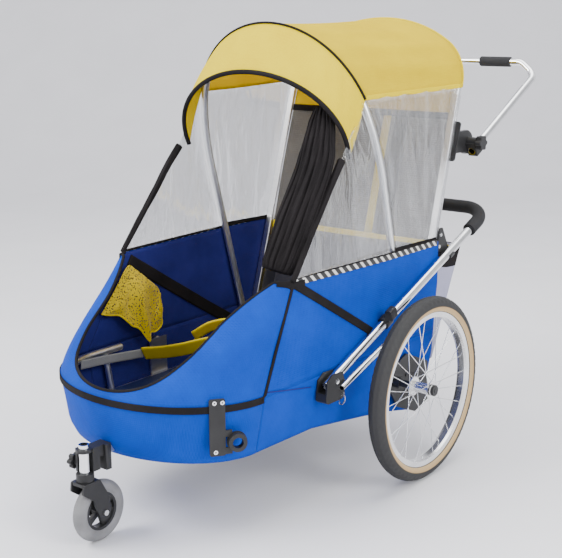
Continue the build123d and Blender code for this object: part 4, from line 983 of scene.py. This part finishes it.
piece(pocket, YELLOW_MESH, "chassis", "yellow_fabric")
cloth(pocket, rows)
piece(tube("pocket_binding", np.array(rows)[-1], 2.4), YELLOW, "chassis", "yellow_fabric")

# ------------------------------------------------------------------ rear bag
BAG = np.array([(181, 258), (240, 253), (387, 564)], float)


def bag_sheet(name, pts, mat, slotname, inset=0.0, sag=0.0, replaced=()):
    rows = []
    pts = np.asarray(pts, float)
    d = np.concatenate([[0], np.cumsum(np.linalg.norm(np.diff(pts, axis=0), axis=1))])
    for t in np.linspace(0, d[-1], 40):
        y, z = np.interp(t, d, pts[:, 0]), np.interp(t, d, pts[:, 1])
        row = []
        for x in np.linspace(-287 + inset, 287 - inset, 41):
            f = cos(x / 287 * pi / 2)
            row.append(P(x, y + sag * f * sin(pi * t / d[-1]) + 1.5 * sin(x / 23 + t / 50) * sin(pi * t / d[-1]), z))
        rows.append(row)
    o = grid(name, rows)
    thicken(o, 1.6)
    piece(o, mat, "rear_frame", slotname, *replaced)
    cloth(o, rows)
    return o


bag_sheet("bag_outer", [(181, 258), (240, 253), (387, 564)], PALE, "black_fabric", 0, 7, ("rear_bag",))
bag_sheet("bag_inner", [(246, 596), (186, 268), (238, 262), (376, 560)], YELLOW, "yellow_fabric", 3, 3)
bag_sheet("bag_top_band", [(367, 522), (389, 566)], BLACK, "black_fabric", -1, 2)
for s, nm in ((1, "left"), (-1, "right")):
    rows = []
    for i in range(17):
        t = i / 16
        a = lerp(np.array([181.0, 258.0]), np.array([238.0, 598.0]), t)
        b = lerp(np.array([240.0, 253.0]), np.array([387.0, 564.0]), t)
        rows.append([P(s * (286.5 - 3.0 * sin(pi * u) * sin(pi * t)), lerp(a[0], b[0], u), lerp(a[1], b[1], u) - 10 * sin(pi * u) * t) for u in np.linspace(0, 1, 15)])
    o = grid(nm + "_bag_side", rows)
    thicken(o, 1.4)
    piece(o, PALE, "rear_frame", "black_fabric")
    cloth(o, rows)
    top = np.array(rows)[-4:]
    o = grid(nm + "_bag_side_band", top + np.array([s * 0.0015, 0, 0]))
    thicken(o, 1.4)
    piece(o, BLACK, "rear_frame", "black_fabric")


# ------------------------------------------------------------------ tyres with tread blocks
def tyre(name, cx, mat):
    rows = []
    na = 288
    prof = []
    for k in range(37):
        a = radians(-158 + 316 * k / 36)  # 0 is the crown
        prof.append(a)
    for i in range(na):
        th = 2 * pi * i / na
        row = []
        for a in prof:
            r = 23.2
            w = abs(degrees(a))
            if w < 62:
                g = int(w // 15.5)
                on = ((i + (2 if g % 2 else 0) + (1 if a > 0 else 0)) % 4) < 2.5
                r = 23.5 if on and (w % 15.5) > 2.6 else 21.6
                if w < 4:
                    r = 23.5
            x = cx + r * sin(a)
            rad = 226.5 + r * cos(a)
            row.append(P(x, rad * cos(th), 250 + rad * sin(th)))
        rows.append(row)
    rows = np.array(rows)
    n = len(prof)
    verts = rows.reshape(-1, 3)
    faces = []
    for i in range(na):
        k = (i + 1) % na
        for j in range(n - 1):
            faces.append((i * n + j, k * n + j, k * n + j + 1, i * n + j + 1))
    o = mesh_object(name, verts, faces)
    s = o.modifiers.new("t", "SOLIDIFY")
    s.thickness = 0.0028
    s.offset = 1.0 if False else -1.0
    apply_modifiers(o)
    return paint(o, mat)


for side_name, s in (("left", 1), ("right", -1)):
    o = tyre(side_name + "_tyre_tread", s * 412, tyre_mat(side_name + "_tyre_rubber", s * 412))
    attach(o, side_name + "_wheel")
    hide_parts(side_name + "_tyre")

# ------------------------------------------------------------------ own mesh copies for the soft parts
ABOVE_BAND = {
    "closing_seam", "slant_seam", "top_piping", "top_hem", "corner_patch", "inner_sleeve",
    "rim_binding", "rim_hem", "mesh_pocket", "pocket_binding", "harness_pad", "harness_tail", "grey_web",
}
for o in list(bpy.data.objects):
    n = o.name
    if o.type != "MESH" or "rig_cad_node" in o:
        continue
    if n.startswith("roof_") or "roof_hem" in n or "side_window" in n or "window_sill" in n:
        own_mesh(o)
    elif "front_window" in n or "front_strap" in n or n == "gathered_cover":
        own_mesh(o)
    elif n in ("visor_fabric", "visor_binding"):
        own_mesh(o)
    elif o.get("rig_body") == "chassis" and ("upper" in n or n in ABOVE_BAND or n.split("_", 1)[-1] in ABOVE_BAND):
        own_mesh(o)

# ------------------------------------------------------------------ floor, light, camera
va = radians(38.669)
away, across = np.array([-sin(va), cos(va), 0]), np.array([cos(va), sin(va), 0])
prof = [(q, 0.0) for q in np.linspace(-9, 4.5, 28)] + [(4.5 + 3 * sin(t), 3 - 3 * cos(t)) for t in np.linspace(0.05, pi / 2, 30)] + [(7.5, q) for q in (3.5, 5, 8)]
floor = grid("studio_floor", [[away * d + across * w + np.array([0, 0, h]) for w in np.linspace(-12, 12, 13)] for d, h in prof])
m, nt, out = new_mat("studio_floor")
bs = node(nt, "ShaderNodeBsdfPrincipled")
n = node(nt, "ShaderNodeTexNoise", Scale=3.0, Detail=3.0)
nt.links.new(coords(nt), n.inputs["Vector"])
nt.links.new(ramp(nt, n.outputs["Fac"], [(0.3, (0.80, 0.80, 0.83)), (0.7, (0.83, 0.83, 0.86))]), bs.inputs["Base Color"])
bs.inputs["Roughness"].default_value = 0.55
bs.inputs["Specular IOR Level"].default_value = 0.25
nt.links.new(bs.outputs[0], out.inputs["Surface"])
paint(floor, m)

world = bpy.data.worlds.new("studio")
bpy.context.scene.world = world
world.use_nodes = True
wt = world.node_tree
bg = wt.nodes["Background"]
tc = node(wt, "ShaderNodeTexCoord")
sp = node(wt, "ShaderNodeSeparateXYZ")
wt.links.new(tc.outputs["Generated"], sp.inputs[0])
mr = node(wt, "ShaderNodeMapRange")
mr.inputs["From Min"].default_value = -1.0
wt.links.new(sp.outputs["X"], mr.inputs["Value"])
soft = ramp(wt, mr.outputs[0], [(0.0, (0.5, 0.5, 0.52)), (0.22, (1.15, 1.15, 1.18)), (0.42, (0.42, 0.42, 0.44)), (0.62, (1.2, 1.2, 1.22)), (0.82, (0.45, 0.45, 0.47)), (1.0, (1.1, 1.1, 1.12))])
wt.links.new(soft, bg.inputs["Color"])
bg.inputs["Strength"].default_value = 1.55


def light(name, loc, target, size, power, color=(1, 1, 1)):
    d = bpy.data.lights.new(name, "AREA")
    d.shape = "RECTANGLE"
    d.size, d.size_y = size
    d.energy = power
    d.color = color
    o = bpy.data.objects.new(name, d)
    bpy.context.scene.collection.objects.link(o)
    o.location = loc
    o.rotation_euler = (Vector(target) - Vector(loc)).to_track_quat("-Z", "Y").to_euler()
    return o


light("key", (-1.6, -2.6, 3.2), (0, -0.2, 0.5), (2.4, 1.6), 170)
light("right", (3.4, -0.6, 2.2), (0, 0, 0.5), (1.4, 2.2), 95)
light("top", (0.3, 0.6, 3.6), (0, 0, 0.4), (2.6, 2.6), 90)

az, el, roll = radians(38.669), radians(13.193), radians(-0.401)
backv = np.array([sin(az) * cos(el), -cos(az) * cos(el), sin(el)])
right = np.cross([0, 0, 1], backv)
right /= np.linalg.norm(right)
up = np.cross(backv, right)
cx = right * cos(roll) + up * sin(roll)
cy = -right * sin(roll) + up * cos(roll)
eye = P(154.806, -300, 576.208) + backv * 2.91478
cam = bpy.data.cameras.new("camera")
cam.sensor_width = 36
cam.lens = 73.47
cam.shift_x = 0.00447
cam.shift_y = -0.00403
co = bpy.data.objects.new("camera", cam)
bpy.context.scene.collection.objects.link(co)
mw = Matrix.Identity(4)
for i in range(3):
    mw[i][0], mw[i][1], mw[i][2], mw[i][3] = cx[i], cy[i], backv[i], eye[i]
co.matrix_world = mw
bpy.context.scene.camera = co

bpy.context.view_layer.update()
